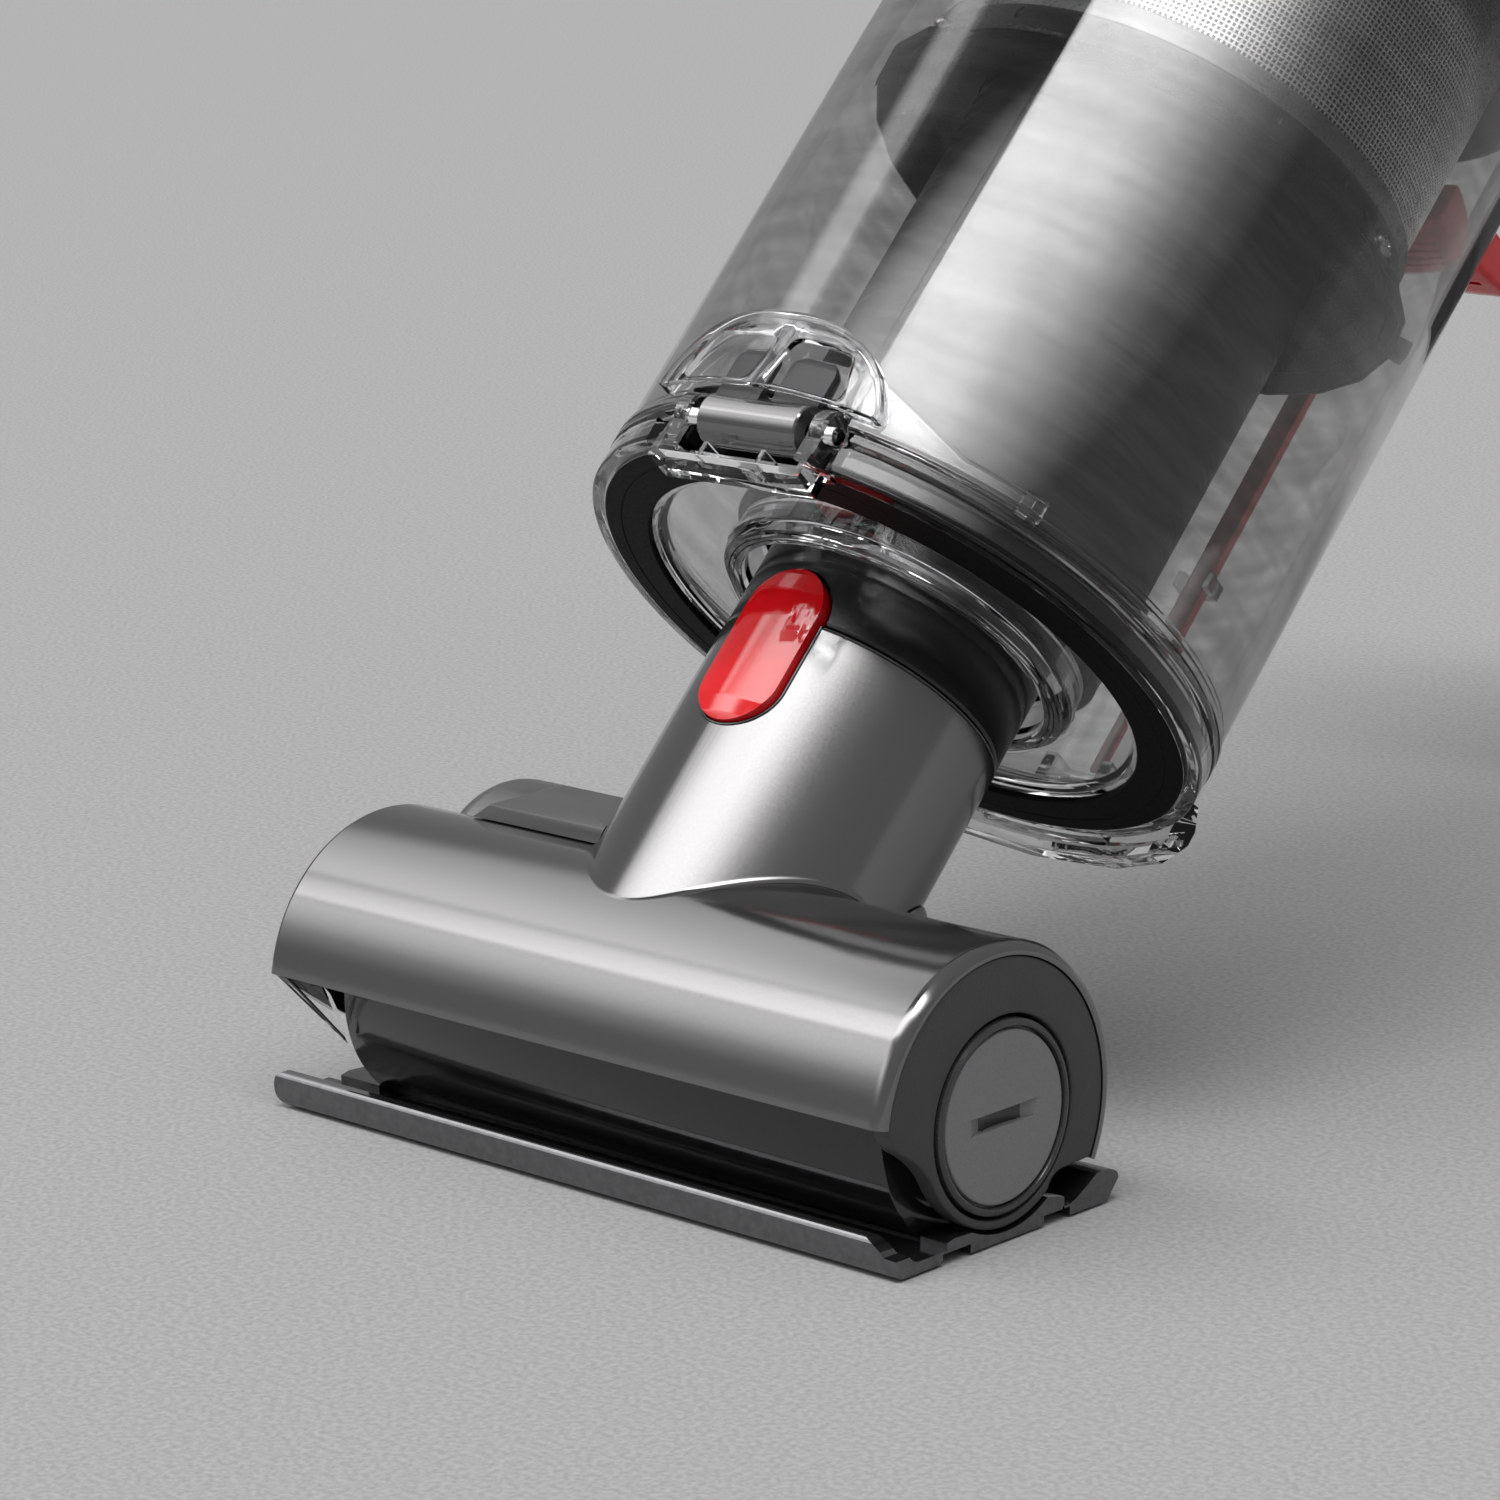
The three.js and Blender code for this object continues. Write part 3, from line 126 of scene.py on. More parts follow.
finishes = {
    # colour, roughness, metallic, coat, grain scale, bump, roughness spread, tint, depth, specular
    "gunmetalPaint": ((0.205, 0.202, 0.202), 0.14, 0.9, 0.0, 2600, 0.012, 0.015, 0.03, 0.0001),
    "gunmetalSoft": ((0.205, 0.202, 0.202), 0.34, 0.85, 0.0, 2600, 0.012, 0.02, 0.03, 0.0001),
    "texturedGrey": ((0.040, 0.040, 0.042), 0.46, 0.0, 0.0, 3200, 0.35, 0.05, 0.12),
    "gripGrey": ((0.035, 0.035, 0.037), 0.5, 0.0, 0.0, 1500, 0.5, 0.06, 0.15),
    "discGrey": ((0.19, 0.19, 0.195), 0.42, 0.1, 0.0, 3200, 0.25, 0.05, 0.08),
    "ringGrey": ((0.035, 0.035, 0.037), 0.25, 0.0, 0.2, 2600, 0.05, 0.03, 0.1),
    "glossBlack": ((0.012, 0.012, 0.013), 0.12, 0.0, 0.4, 700, 0.015, 0.03, 0.2),
    "soleBlack": ((0.16, 0.16, 0.165), 0.13, 0.95, 0.0, 700, 0.015, 0.03, 0.1),
    "satinBlack": ((0.010, 0.010, 0.0105), 0.2, 0.0, 0.0, 2200, 0.015, 0.03, 0.2),
    "skirtBlack": ((0.006, 0.006, 0.0065), 0.3, 0.0, 0.0, 2200, 0.03, 0.04, 0.2, 0.0004, 0.25),
    "redPlastic": ((0.66, 0.006, 0.010), 0.05, 0.0, 0.0, 500, 0.004, 0.01, 0.04, 0.0004, 0.75),
    "satinTube": ((0.20, 0.198, 0.20), 0.32, 0.6, 0.1, 1500, 0.04, 0.06, 0.1),
    "satinBand": ((0.16, 0.158, 0.16), 0.3, 0.5, 0.0, 1800, 0.04, 0.05, 0.06),
    "meshSteel": ((0.62, 0.61, 0.60), 0.3, 1.0, 0.0, 1500, 0.03, 0.05, 0.05),
    "steelTurned": ((0.55, 0.54, 0.53), 0.26, 1.0, 0.0, 1800, 0.05, 0.06, 0.06),
    "softRubber": ((0.006, 0.006, 0.006), 0.6, 0.0, 0.0, 1600, 0.1, 0.06, 0.15, 0.0004, 0.1),
    "redNylon": ((0.22, 0.012, 0.02), 0.75, 0.0, 0.0, 4000, 0.5, 0.06, 0.3),
    "bronze": ((0.42, 0.25, 0.12), 0.42, 0.9, 0.0, 2600, 0.15, 0.06, 0.12),
    "filterPaper": ((0.68, 0.68, 0.66), 0.85, 0.0, 0.0, 2600, 0.3, 0.04, 0.06),
    "cellWrap": ((0.03, 0.16, 0.10), 0.4, 0.0, 0.0, 900, 0.02, 0.04, 0.1),
}
for name, values in finishes.items():
    plainFinish(name, *values)


def dustyFinish(name, colour, roughness, metallic):
    # satin metal with faint streaks drawn round it
    made, tree, shader = newMaterial(name, colour, roughness, metallic, 0.0, 0.3)
    place = newNode(tree, "TexCoord")
    mapping = newNode(tree, "Mapping", {"Rotation": (machineTilt - math.pi / 2, 0, 0), "Scale": (1, 1, 0.07)},
        place.outputs["Object"], "Vector")
    mapping.vector_type = "TEXTURE"
    streak = newNode(tree, "TexNoise", {"Scale": 70, "Detail": 6, "Roughness": 0.62},
        mapping.outputs["Vector"], "Vector")
    spread = newNode(tree, "MapRange", {"From Min": 0.38, "From Max": 0.64, "To Min": roughness - 0.06,
        "To Max": roughness + 0.16}, streak.outputs["Fac"], "Value")
    tree.links.new(spread.outputs["Result"], shader.inputs["Roughness"])
    tone = twoTones(tree, streak.outputs["Fac"], [c * 0.72 for c in colour], [c * 1.5 for c in colour], 0.38,
        0.66)
    tree.links.new(tone, shader.inputs["Base Color"])
    return made


dustyFinish("dustySatin", (0.048, 0.047, 0.047), 0.34, 0.6)


def clearFinish(name, tint, roughness, ior=1.42, specular=0.5, passing=1.0, low=None, stretch=(1, 1, 1),
                turn=0):
    # clear moulding with faint scuffs, and streaks of a darker tint where low is given
    made, tree, shader = newMaterial(name, tint, roughness, 0.0, 0.0, specular)
    shader.inputs["Transmission Weight"].default_value = passing
    shader.inputs["IOR"].default_value = ior
    scuff = addGrain(tree, shader, 30 if low else 260, 0, 0.0003,
        (max(0.0, roughness - 0.01), roughness + 0.02), (low, tint) if low else None, 6.0, stretch)
    scuff.inputs["Roughness"].default_value = 0.6
    if turn:
        mapping = scuff.inputs["Vector"].links[0].from_node
        mapping.vector_type = "TEXTURE"
        mapping.inputs["Rotation"].default_value = (turn, 0, 0)
    return made


clearFinish("clearPlastic", (0.96, 0.965, 0.97), 0.015, 1.42, 0.45)
clearFinish("clearDoor", (0.96, 0.965, 0.97), 0.01, 1.40, 0.35)
clearFinish("smokedBin", (0.78, 0.78, 0.78), 0.005, 1.45, 0.55, 0.985, (0.50, 0.50, 0.50), (1, 1, 0.1),
    machineTilt - math.pi / 2)

finishOf = {
    "gunmetalPaint": ["head_housing", "neck", "main_body", "hinge_barrel"],
    "gunmetalSoft": ["motor_cover"],
    "texturedGrey": ["end_plate", "cyclone_pack", "mode_slider", "grip_left", "grip_right", "battery_case",
                     "filter_shell", "bin_collar", "brush_core"],
    "discGrey": ["end_cap"],
    "glossBlack": ["brush_chamber", "soleplate"],
    "satinBlack": ["spigot", "inlet_collar", "inlet_duct", "brush_pulley"],
    "skirtBlack": ["skirt"],
    "redPlastic": ["release_button", "trigger", "release_strip", "bin_release_lever"],
    "satinTube": ["fine_dust_tube", "shroud_band", "mesh_shroud"],
    "steelTurned": ["motor_case", "impeller", "motor_pulley", "head_motor", "trigger_pin", "catch_pin"],
    "softRubber": ["tube_seal", "door_seal", "drive_belt", "motor_mount"],
    "redNylon": ["bristle_strip_1", "bristle_strip_2", "bristle_strip_3", "bristle_strip_4"],
    "bronze": ["end_bush"],
    "filterPaper": ["filter_media"],
    "cellWrap": ["cell_block"],
    "clearPlastic": ["hinge_pin", "hinge_cover", "door_catch", "clear_cheek"],
    "clearDoor": ["door_panel"],
    "smokedBin": ["bin_shell"],
}
for finishName, names in finishOf.items():
    for name in names:
        held = nodes[name].data.materials
        held.clear()
        held.append(bpy.data.materials[finishName])
print("materials set")


# modelling steps shared by the pieces, sizes in millimetres
def deselectAll():
    if bpy.context.object and bpy.context.object.mode != "OBJECT":
        bpy.ops.object.mode_set(mode="OBJECT")
    bpy.ops.object.select_all(action="DESELECT")


def pick(piece):
    deselectAll()
    piece.select_set(True)
    bpy.context.view_layer.objects.active = piece


def arcPoints(centre, radius, start, end, steps):
    # points on an arc, angles in degrees from the first axis towards the second
    angles = [math.radians(start + (end - start) * i / steps) for i in range(steps + 1)]
    return [(centre[0] + radius * math.cos(a), centre[1] + radius * math.sin(a)) for a in angles]


def selectFaces():
    bpy.ops.mesh.select_all(action="SELECT")


def startLine(name, points):
    # a plane merged to one vertex, then drawn on by extrusion
    deselectAll()
    bpy.ops.mesh.primitive_plane_add(size=0.002, location=[v * mm for v in points[0]])
    piece = bpy.context.active_object
    piece.name = name
    bpy.ops.object.transform_apply(location=True, rotation=False, scale=False)
    bpy.ops.object.mode_set(mode="EDIT")
    selectFaces()
    bpy.ops.mesh.merge(type="CENTER")
    for last, point in zip(points, points[1:]):
        step = [(b - a) * mm for a, b in zip(last, point)]
        bpy.ops.mesh.extrude_region_move(TRANSFORM_OT_translate={"value": step})
    return piece


def closeUp():
    selectFaces()
    bpy.ops.mesh.remove_doubles(threshold=0.000001)
    selectFaces()
    bpy.ops.mesh.normals_make_consistent(inside=False)
    bpy.ops.object.mode_set(mode="OBJECT")


def supported(profile, near=0.25):
    # extra points beside the corners of long stretches, so that shading stays true along them
    made = [profile[0]]
    for (ra, sa), (rb, sb) in zip(profile, profile[1:]):
        length = math.hypot(rb - ra, sb - sa)
        if length > 8 * near:
            for t in (near / length, 1 - near / length):
                made.append((ra + (rb - ra) * t, sa + (sb - sa) * t))
        made.append((rb, sb))
    return made


def turnedPiece(name, profile, steps=120, axis="Z", centre=(0, 0), sweep=360, start=0):
    # (radius, station) pairs spun about Z, or about X through the centre
    profile = supported(profile)
    a = math.radians(start)
    if axis == "Z":
        points = [(centre[0] + r * math.cos(a), centre[1] + r * math.sin(a), z) for r, z in profile]
        middle, direction = (centre[0] * mm, centre[1] * mm, 0), (0, 0, 1)
    else:
        points = [(x, centre[0] + r * math.cos(a), centre[1] + r * math.sin(a)) for r, x in profile]
        middle, direction = (0, centre[0] * mm, centre[1] * mm), (1, 0, 0)
    piece = startLine(name, points)
    selectFaces()
    bpy.ops.mesh.spin(steps=steps, angle=-math.radians(sweep), center=middle, axis=direction)
    if sweep < 360:
        selectFaces()
        bpy.ops.mesh.remove_doubles(threshold=0.000001)
        selectFaces()
        bpy.ops.mesh.fill_holes(sides=0)
    closeUp()
    return piece


def drawnPiece(name, points, push):
    # a flat outline, filled and pushed straight
    piece = startLine(name, points + [points[0]])
    selectFaces()
    bpy.ops.mesh.remove_doubles(threshold=0.000001)
    selectFaces()
    bpy.ops.mesh.edge_face_add()
    bpy.ops.mesh.extrude_region_move(TRANSFORM_OT_translate={"value": [v * mm for v in push]})
    closeUp()
    return piece


def boxPiece(name, low, high):
    points = [(low[0], low[1], low[2]), (high[0], low[1], low[2]), (high[0], high[1], low[2]),
        (low[0], high[1], low[2])]
    return drawnPiece(name, points, (0, 0, high[2] - low[2]))


def ringPiece(name, profile, *rest):
    # a turned piece whose outline ends where it starts
    return turnedPiece(name, profile + profile[:1], *rest)


def rodPiece(name, radius, start, end, centre, axis="X", steps=32, chamfer=0.0):
    profile = [(0, start), (radius - chamfer, start), (radius, start + chamfer), (radius, end - chamfer),
        (radius - chamfer, end), (0, end)]
    if not chamfer:
        profile = [(0, start), (radius, start), (radius, end), (0, end)]
    return turnedPiece(name, profile, steps, axis, centre)


def combine(piece, other, operation="UNION"):
    pick(piece)
    bpy.ops.object.modifier_add(type="BOOLEAN")
    change = piece.modifiers[-1]
    change.operation = operation
    change.solver = "EXACT"
    change.object = other
    bpy.ops.object.modifier_apply(modifier=change.name)
    bpy.data.objects.remove(other)
    return piece


def cutAway(piece, other):
    return combine(piece, other, "DIFFERENCE")


def keepWithin(piece, other):
    return combine(piece, other, "INTERSECT")


def cutBox(piece, low, high):
    return combine(piece, boxPiece("cut", low, high), "DIFFERENCE")


def copyOf(piece):
    copy = piece.copy()
    copy.data = piece.data.copy()
    bpy.context.collection.objects.link(copy)
    return copy


def dress(piece, finishName):
    piece.data.materials.append(bpy.data.materials[finishName])


def joinUp(piece, *others):
    # separate shells kept in one piece
    pick(piece)
    for other in others:
        other.select_set(True)
    bpy.ops.object.join()
    return piece


def softEdges(piece, width, segments=2, angle=32):
    pick(piece)
    bpy.ops.object.modifier_add(type="BEVEL")
    change = piece.modifiers[-1]
    change.width = width * mm
    change.segments = segments
    change.limit_method = "ANGLE"
    change.angle_limit = math.radians(angle)
    change.harden_normals = False
    bpy.ops.object.modifier_apply(modifier=change.name)
    return piece


def putPlace(piece, place):
    pick(piece)
    piece.matrix_world = place
    bpy.ops.object.transform_apply(location=True, rotation=True, scale=True)


def settle(piece, body, finishName, replaced="", angle=30, place=machinePlace):
    # place it, smooth it, dress it and tie it to its body
    putPlace(piece, place)
    bpy.ops.object.shade_smooth_by_angle(angle=math.radians(angle))
    if not piece.data.materials:
        dress(piece, finishName)
    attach(piece, body)
    if replaced:
        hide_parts(replaced)
    return piece


def dressFaces(piece, finishName, chosen):
    # a second finish on the faces that a test picks by centre, in local millimetres
    dress(piece, finishName)
    slot = len(piece.data.materials) - 1
    for face in piece.data.polygons:
        if chosen([v / mm for v in face.center], face.normal):
            face.material_index = slot


# head housing: an arch with soft ends, and the left end wall
housing = {"radius": 28.6, "wall": 2.4, "left": -70.5, "right": 70.3, "rim": 2.2, "archY": -1.65,
    "archZ": 20.75, "from": -28, "to": 171, "brushZ": 20.4, "beltBulge": 12}
brushAxis = (0, housing["brushZ"])
archAxis = (housing["archY"], housing["archZ"])


def endOutline(radius, bulge):
    # arch on top, round bulge below about the brush axis, as (y, z) points
    arch = arcPoints(archAxis, radius, housing["from"], housing["to"], 96)
    low = arcPoints(brushAxis, bulge, 232, 306, 40)
    frontY, frontZ = arch[-1]
    startY, startZ = low[0]
    rearY, rearZ = arch[0]
    front = curvePoints([(frontY, frontZ), (frontY + 0.2, frontZ - 3), (frontY + 2.6, frontZ - 4.6)], 6)
    front += curvePoints([(frontY + 2.6, frontZ - 4.6), (frontY + 8.6, frontZ - 8),
        (frontY + 10.8, frontZ - 12.8)], 8)[1:]
    front += curvePoints([(frontY + 10.8, frontZ - 12.8), (startY - 3.4, startZ + 2.6), (startY, startZ)],
        8)[1:-1]
    rear = curvePoints([low[-1], (rearY - 9.5, rearZ - 0.2), (rearY - 6, rearZ - 0.2)], 6)[1:]
    return arch[:-1] + front + low + rear


def curvePoints(corners, steps):
    # one soft bend through three corners
    (ax, ay), (bx, by), (cx, cy) = corners
    made = []
    for i in range(steps + 1):
        t = i / steps
        made.append(((1 - t) ** 2 * ax + 2 * t * (1 - t) * bx + t * t * cx,
            (1 - t) ** 2 * ay + 2 * t * (1 - t) * by + t * t * cy))
    return made


r, w = housing["radius"], housing["wall"]
rim = [(x, y) for y, x in arcPoints((housing["right"] - housing["rim"], r - housing["rim"]), housing["rim"],
    90, 0, 8)]
archProfile = [(r - w, housing["left"]), (r - 0.5, housing["left"]), (r - 0.15, housing["left"] + 0.15),
    (r, housing["left"] + 0.5)] + rim + [(r - w, housing["right"] - 0.1), (r - w, housing["left"])]
headShell = turnedPiece("headShell", archProfile, 110, "X", archAxis, housing["to"] - housing["from"],
    housing["from"])
wallArch = arcPoints(archAxis, r - 0.3, housing["from"], housing["to"], 96)
wallLow = arcPoints(brushAxis, housing["beltBulge"], 240, 306, 30)
wallRear = curvePoints([wallLow[-1], (wallArch[0][0] - 9.5, wallArch[0][1] - 0.2),
    (wallArch[0][0] - 6, wallArch[0][1] - 0.2)], 6)[1:]
leftWall = drawnPiece("leftWall", [(housing["left"] + 0.3, y, z) for y,
    z in wallArch + [(-16, 15.6)] + wallLow + wallRear], (w, 0, 0))
joinUp(headShell, leftWall)
settle(headShell, "head", "gunmetalPaint", "head_housing", 40, place=headPlace)

# dark end plate inside the rim, with a wide round opening
plate = {"from": 66.5, "to": 70.15, "radius": 26.05, "bulge": 18.3, "hole": 16.75}
endPlate = drawnPiece("endPlate", [(plate["from"], y, z) for y, z in endOutline(plate["radius"],
    plate["bulge"])], (plate["to"] - plate["from"], 0, 0))
cutAway(endPlate, rodPiece("cut", plate["hole"], 60, 80, brushAxis, "X", 96))
softEdges(endPlate, 0.5, 3)
settle(endPlate, "head", "texturedGrey", "end_plate", 32, place=headPlace)

# coin-turned end cap in its ring
cap = {"face": 70.2, "slotLength": 16.5, "slotHeight": 2.9, "slotDepth": 1.9}
capProfile = [(0, 60.5), (6, 60.5), (6, 65.5), (15.9, 65.5), (16.15, 65.8), (16.15, 69.7), (16.0, 70.15),
    (15.6, 70.45), (15.2, 70.5), (14.9, 70.35), (14.75, 70.0), (14.7, 69.2), (14.4, 69.2), (14.3, 69.9),
    (14.15, 70.12), (13.9, cap["face"]), (0, cap["face"])]
endCap = turnedPiece("endCap", capProfile, 120, "X", brushAxis)
coinRadius = ((cap["slotLength"] / 2) ** 2 + cap["slotDepth"] ** 2) / (2 * cap["slotDepth"])
coin = turnedPiece("coin", [(0, -cap["slotHeight"] / 2), (coinRadius, -cap["slotHeight"] / 2),
    (coinRadius, cap["slotHeight"] / 2), (0, cap["slotHeight"] / 2)], 160, "Z",
    (cap["face"] - cap["slotDepth"] + coinRadius, 0))
putPlace(coin, Matrix.Translation((0, 0, housing["brushZ"] * mm)))
cutAway(endCap, coin)
dress(endCap, "discGrey")
dressFaces(endCap, "ringGrey", lambda c, n: math.hypot(c[1], c[2] - housing["brushZ"]) > 14.35 or c[0] < 69)
settle(endCap, "cap", "discGrey", "end_cap", 28, place=headPlace)
print("head shell, end plate and cap made")

# neck with a soft foot on the arch, and the pocket for the button
neck = {"radius": 26.7, "wall": 2.8, "length": 68.1, "fillet": 2.6, "around": 144, "rows": 7}
button = {"width": 16.4, "length": 31, "front": 46, "top": 28.3, "seat": 24.4, "gap": 0.65}


def stadiumPoints(grow, y):
    half = button["width"] / 2
    low = arcPoints((0, button["front"] + half), half + grow, 180, 360, 28)
    high = arcPoints((0, button["front"] + button["length"] - half), half + grow, 0, 180, 28)
    return [(x, y, z) for x, z in low + high]


def neckFoot():
    rho, big, small = neck["fillet"], housing["radius"], neck["radius"]
    rings = []
    for row in range(neck["rows"] + 1):
        ring = []
        for i in range(neck["around"]):
            angle = 2 * math.pi * i / neck["around"]
            out = Vector((math.cos(angle), math.sin(angle), 0))
            across = (small + rho) * out.y
            rise = math.sqrt((big + rho) ** 2 - across ** 2)
            centre = Vector(((small + rho) * out.x, across, rise))
            toArch = -Vector((0, across, rise)).normalized()
            ring.append(centre + (rho + 0.02) * (-out).slerp(toArch, 1 - row / neck["rows"]))
        rings.append(ring)
    return rings


def ringAt(radius, station):
    return [Vector((radius * math.cos(2 * math.pi * i / neck["around"]),
        radius * math.sin(2 * math.pi * i / neck["around"]), station)) for i in range(neck["around"])]


inner = neck["radius"] - neck["wall"]
inside = [Vector((p.x, p.y, math.sqrt(27 ** 2 - p.y ** 2))) for p in ringAt(inner, 0)]
top = neck["length"]
foot = neckFoot()
rings = [inside] + foot + [[p + Vector((0, 0, 0.3)) for p in foot[-1]], ringAt(neck["radius"], top - 0.8),
    ringAt(neck["radius"], top - 0.45), ringAt(neck["radius"] - 0.12, top - 0.13),
    ringAt(neck["radius"] - 0.45, top), ringAt(inner, top)]
around = neck["around"]
faces = []
for k in range(len(rings)):
    above = (k + 1) % len(rings)
    for i in range(around):
        j = (i + 1) % around
        faces.append((k * around + i, k * around + j, above * around + j, above * around + i))
neckMesh = bpy.data.meshes.new("neckTube")
neckMesh.from_pydata([p * mm for ring in rings for p in ring], [], faces)
neckTube = bpy.data.objects.new("neckTube", neckMesh)
bpy.context.collection.objects.link(neckTube)
pick(neckTube)
bpy.ops.object.mode_set(mode="EDIT")
closeUp()
pocket = drawnPiece("pocket", stadiumPoints(button["gap"], -18), (0, -14, 0))
cutAway(neckTube, pocket)
settle(neckTube, "head", "gunmetalPaint", "neck", 40)

# glossy button, crowned like the neck, in a thin black liner
releaseButton = drawnPiece("releaseButton", stadiumPoints(0, -button["seat"]), (0, -8, 0))
crown = [(0, button["front"] - 6), (button["top"] - 1.3, button["front"] - 1.5),
    (button["top"] - 0.45, button["front"] + 1.2), (button["top"], button["front"] + 4.5),
    (button["top"], button["front"] + button["length"] - 4.5), (button["top"] - 0.45,
    button["front"] + button["length"] - 1.2), (button["top"] - 1.3,
    button["front"] + button["length"] + 1.5), (0, button["front"] + button["length"] + 8)]
keepWithin(releaseButton, turnedPiece("crown", crown, 160))
softEdges(releaseButton, 0.7, 4, 40)
settle(releaseButton, "button", "redPlastic", "release_button", 40)
buttonLiner = drawnPiece("buttonLiner", stadiumPoints(button["gap"] - 0.05, -button["seat"] - 0.3),
    (0, -3.2, 0))
cutAway(buttonLiner, drawnPiece("cut", stadiumPoints(0.2, -20), (0, -14, 0)))
keepWithin(buttonLiner, turnedPiece("trim", [(0, 30), (26.95, 30), (26.95, neck["length"]),
    (0, neck["length"])], 120))
softEdges(buttonLiner, 0.1, 2, 50)
settle(buttonLiner, "head", "glossBlack", "", 32)

# black inlet collar above the seam
collarProfile = [(22.2, 68.4), (26.0, 68.4), (26.3, 68.52), (26.5, 68.9), (26.5, 90), (31, 92), (31, 94),
    (22.2, 94)]
inletCollar = ringPiece("inletCollar", collarProfile, 144)
cutAway(inletCollar, drawnPiece("pocket", stadiumPoints(button["gap"], -18), (0, -14, 0)))
settle(inletCollar, "machine", "satinBlack", "inlet_collar", 40)
print("neck, button and collar made")

# brush chamber: front and rear walls joined by end rings
chamber = {"radius": 22.4, "wall": 1.4, "left": -60, "right": 64}


def sectorPiece(name, centre, outer, innerRadius, start, end, left, right, steps):
    ring = arcPoints(centre, outer, start, end, steps) + arcPoints(centre, innerRadius, end, start, steps)
    return drawnPiece(name, [(left, y, z) for y, z in ring], (right - left, 0, 0))


inner = chamber["radius"] - chamber["wall"]
chamberWall = sectorPiece("chamberWall", brushAxis, chamber["radius"], inner, 148, 234.6, chamber["left"],
    chamber["right"], 44)
combine(chamberWall, sectorPiece("rear", brushAxis, chamber["radius"], inner, -54.6, -6, chamber["left"],
    chamber["right"], 24))
for left in (chamber["left"], chamber["right"] - 1.2):
    combine(chamberWall, sectorPiece("end", brushAxis, chamber["radius"] - 0.3, 11.4, 148, 354, left,
        left + 1.2, 80))
cutBox(chamberWall, (-80, -20, -6), (80, 20, 2.3))
softEdges(chamberWall, 0.35, 2)
settle(chamberWall, "sole", "glossBlack", "brush_chamber", 32, place=headPlace)

# soleplate: front lip, rear foot and curved end bars
sole = {"front": -26.6, "rear": 28.2, "left": -74.6, "right": 70.4, "thick": 2}
f, b, t = sole["front"], sole["rear"], sole["thick"]
lip = curvePoints([(f + 1.4, 0.1), (f + 0.1, 0.3), (f, 2)], 6) + [(f + 0.12, 5.2), (f + 0.26, 5.44),
    (f + 0.66, 5.84), (f + 0.95, 5.95), (f + 2.5, 5.95), (f + 2.95, 5.75),
    (f + 3.1, 5.3)] + curvePoints([(f + 3.1, 4.6), (f + 3.1, 2.4), (f + 5.4, t)], 8) + [(-14, t), (-14, 0.1)]
soleLip = drawnPiece("soleLip", [(sole["left"], y, z) for y, z in lip], (sole["right"] - sole["left"], 0, 0))
cornerCut = [(sole["left"] - 1, 0), (sole["left"] - 1, -1)] + [(sole["left"] + 3.2, -1)] + [(x, z) for x,
    z in arcPoints((sole["left"] + 3.4, 3.4), 3.3, 270, 180, 10)]
cutAway(soleLip, drawnPiece("cut", [(x, -40, z) for x, z in cornerCut], (0, 40, 0)))
topCut = [(sole["left"] - 1, 8), (sole["left"] - 1, 4)] + arcPoints((sole["left"] + 1.9, 4.2), 1.8, 180, 90,
    8) + [(sole["left"] + 2, 8)]
cutAway(soleLip, drawnPiece("cut", [(x, -40, z) for x, z in topCut], (0, 40, 0)))
endCut = curvePoints([(sole["right"] - 13, 6.8), (sole["right"] - 5, 6.4), (sole["right"] - 2.6, 3.4)],
    8) + [(sole["right"] + 1, 3.2), (sole["right"] + 1, 8), (sole["right"] - 13, 8)]
cutAway(soleLip, drawnPiece("cut", [(x, -40, z) for x, z in endCut], (0, 17, 0)))
foot = [(14, 0.1), (b - 3, 0.1), (b, 3.4)] + curvePoints([(b, 3.4), (b + 0.1, 4.4), (b - 1.2, 5)],
    4)[1:] + curvePoints([(b - 1.2, 5), (b - 3, 5.8), (b - 5.6, 5.4)],
    5)[1:] + curvePoints([(b - 5.6, 5.4), (17.6, 2.4), (15.8, t)], 8)[1:] + [(14, t)]
combine(soleLip, drawnPiece("foot", [(sole["left"] + 6, y, z) for y, z in foot],
    (sole["right"] - sole["left"] - 6, 0, 0)))
bar = [(-14.4, 0.1), (-14.4, 3.2), (-12.6, 3.6)] + arcPoints(brushAxis, 18.9, 244, 303, 30) + [(14.4, 3.6),
    (14.4, 0.1)]
for left, right in ((64.8, sole["right"]), (sole["left"] + 4, -60.8)):
    combine(soleLip, drawnPiece("bar", [(left, y, z) for y, z in bar], (right - left, 0, 0)))
for y0, y1 in ((-15.4, -8.7), (9.3, 15.8)):
    for x0, x1 in ((67, sole["right"] + 1), (sole["left"] - 1, -63)):
        cutBox(soleLip, (x0, y0, -1), (x1, y1, 1.6))
softEdges(soleLip, 0.28, 2, 40)
settle(soleLip, "sole", "soleBlack", "soleplate", 20, place=headPlace)
print("chamber and soleplate made")

# motor cover with a flat-topped hump
cover = {"radius": 20, "y": 24, "z": 30, "left": -69.5, "right": 24, "roundLeft": 5, "roundRight": 13,
    "top": 52}
coverProfile = [(0, cover["left"])] + [(reach, station) for station,
    reach in arcPoints((cover["left"] + cover["roundLeft"], cover["radius"] - cover["roundLeft"]),
    cover["roundLeft"], 180, 90, 8)] + [(reach, station) for station,
    reach in arcPoints((cover["right"] - cover["roundRight"], cover["radius"] - cover["roundRight"]),
    cover["roundRight"], 90, 0, 14)] + [(0, cover["right"])]
motorCover = turnedPiece("motorCover", coverProfile, 96, "X", (cover["y"], cover["z"]))
hump = [(cover["left"], 34), (cover["left"], cover["top"] - 12.5), (cover["left"] + 19.5, cover["top"]),
    (cover["right"] - 16, cover["top"]), (cover["right"] - 3, cover["top"] - 9), (cover["right"] - 3, 34)]
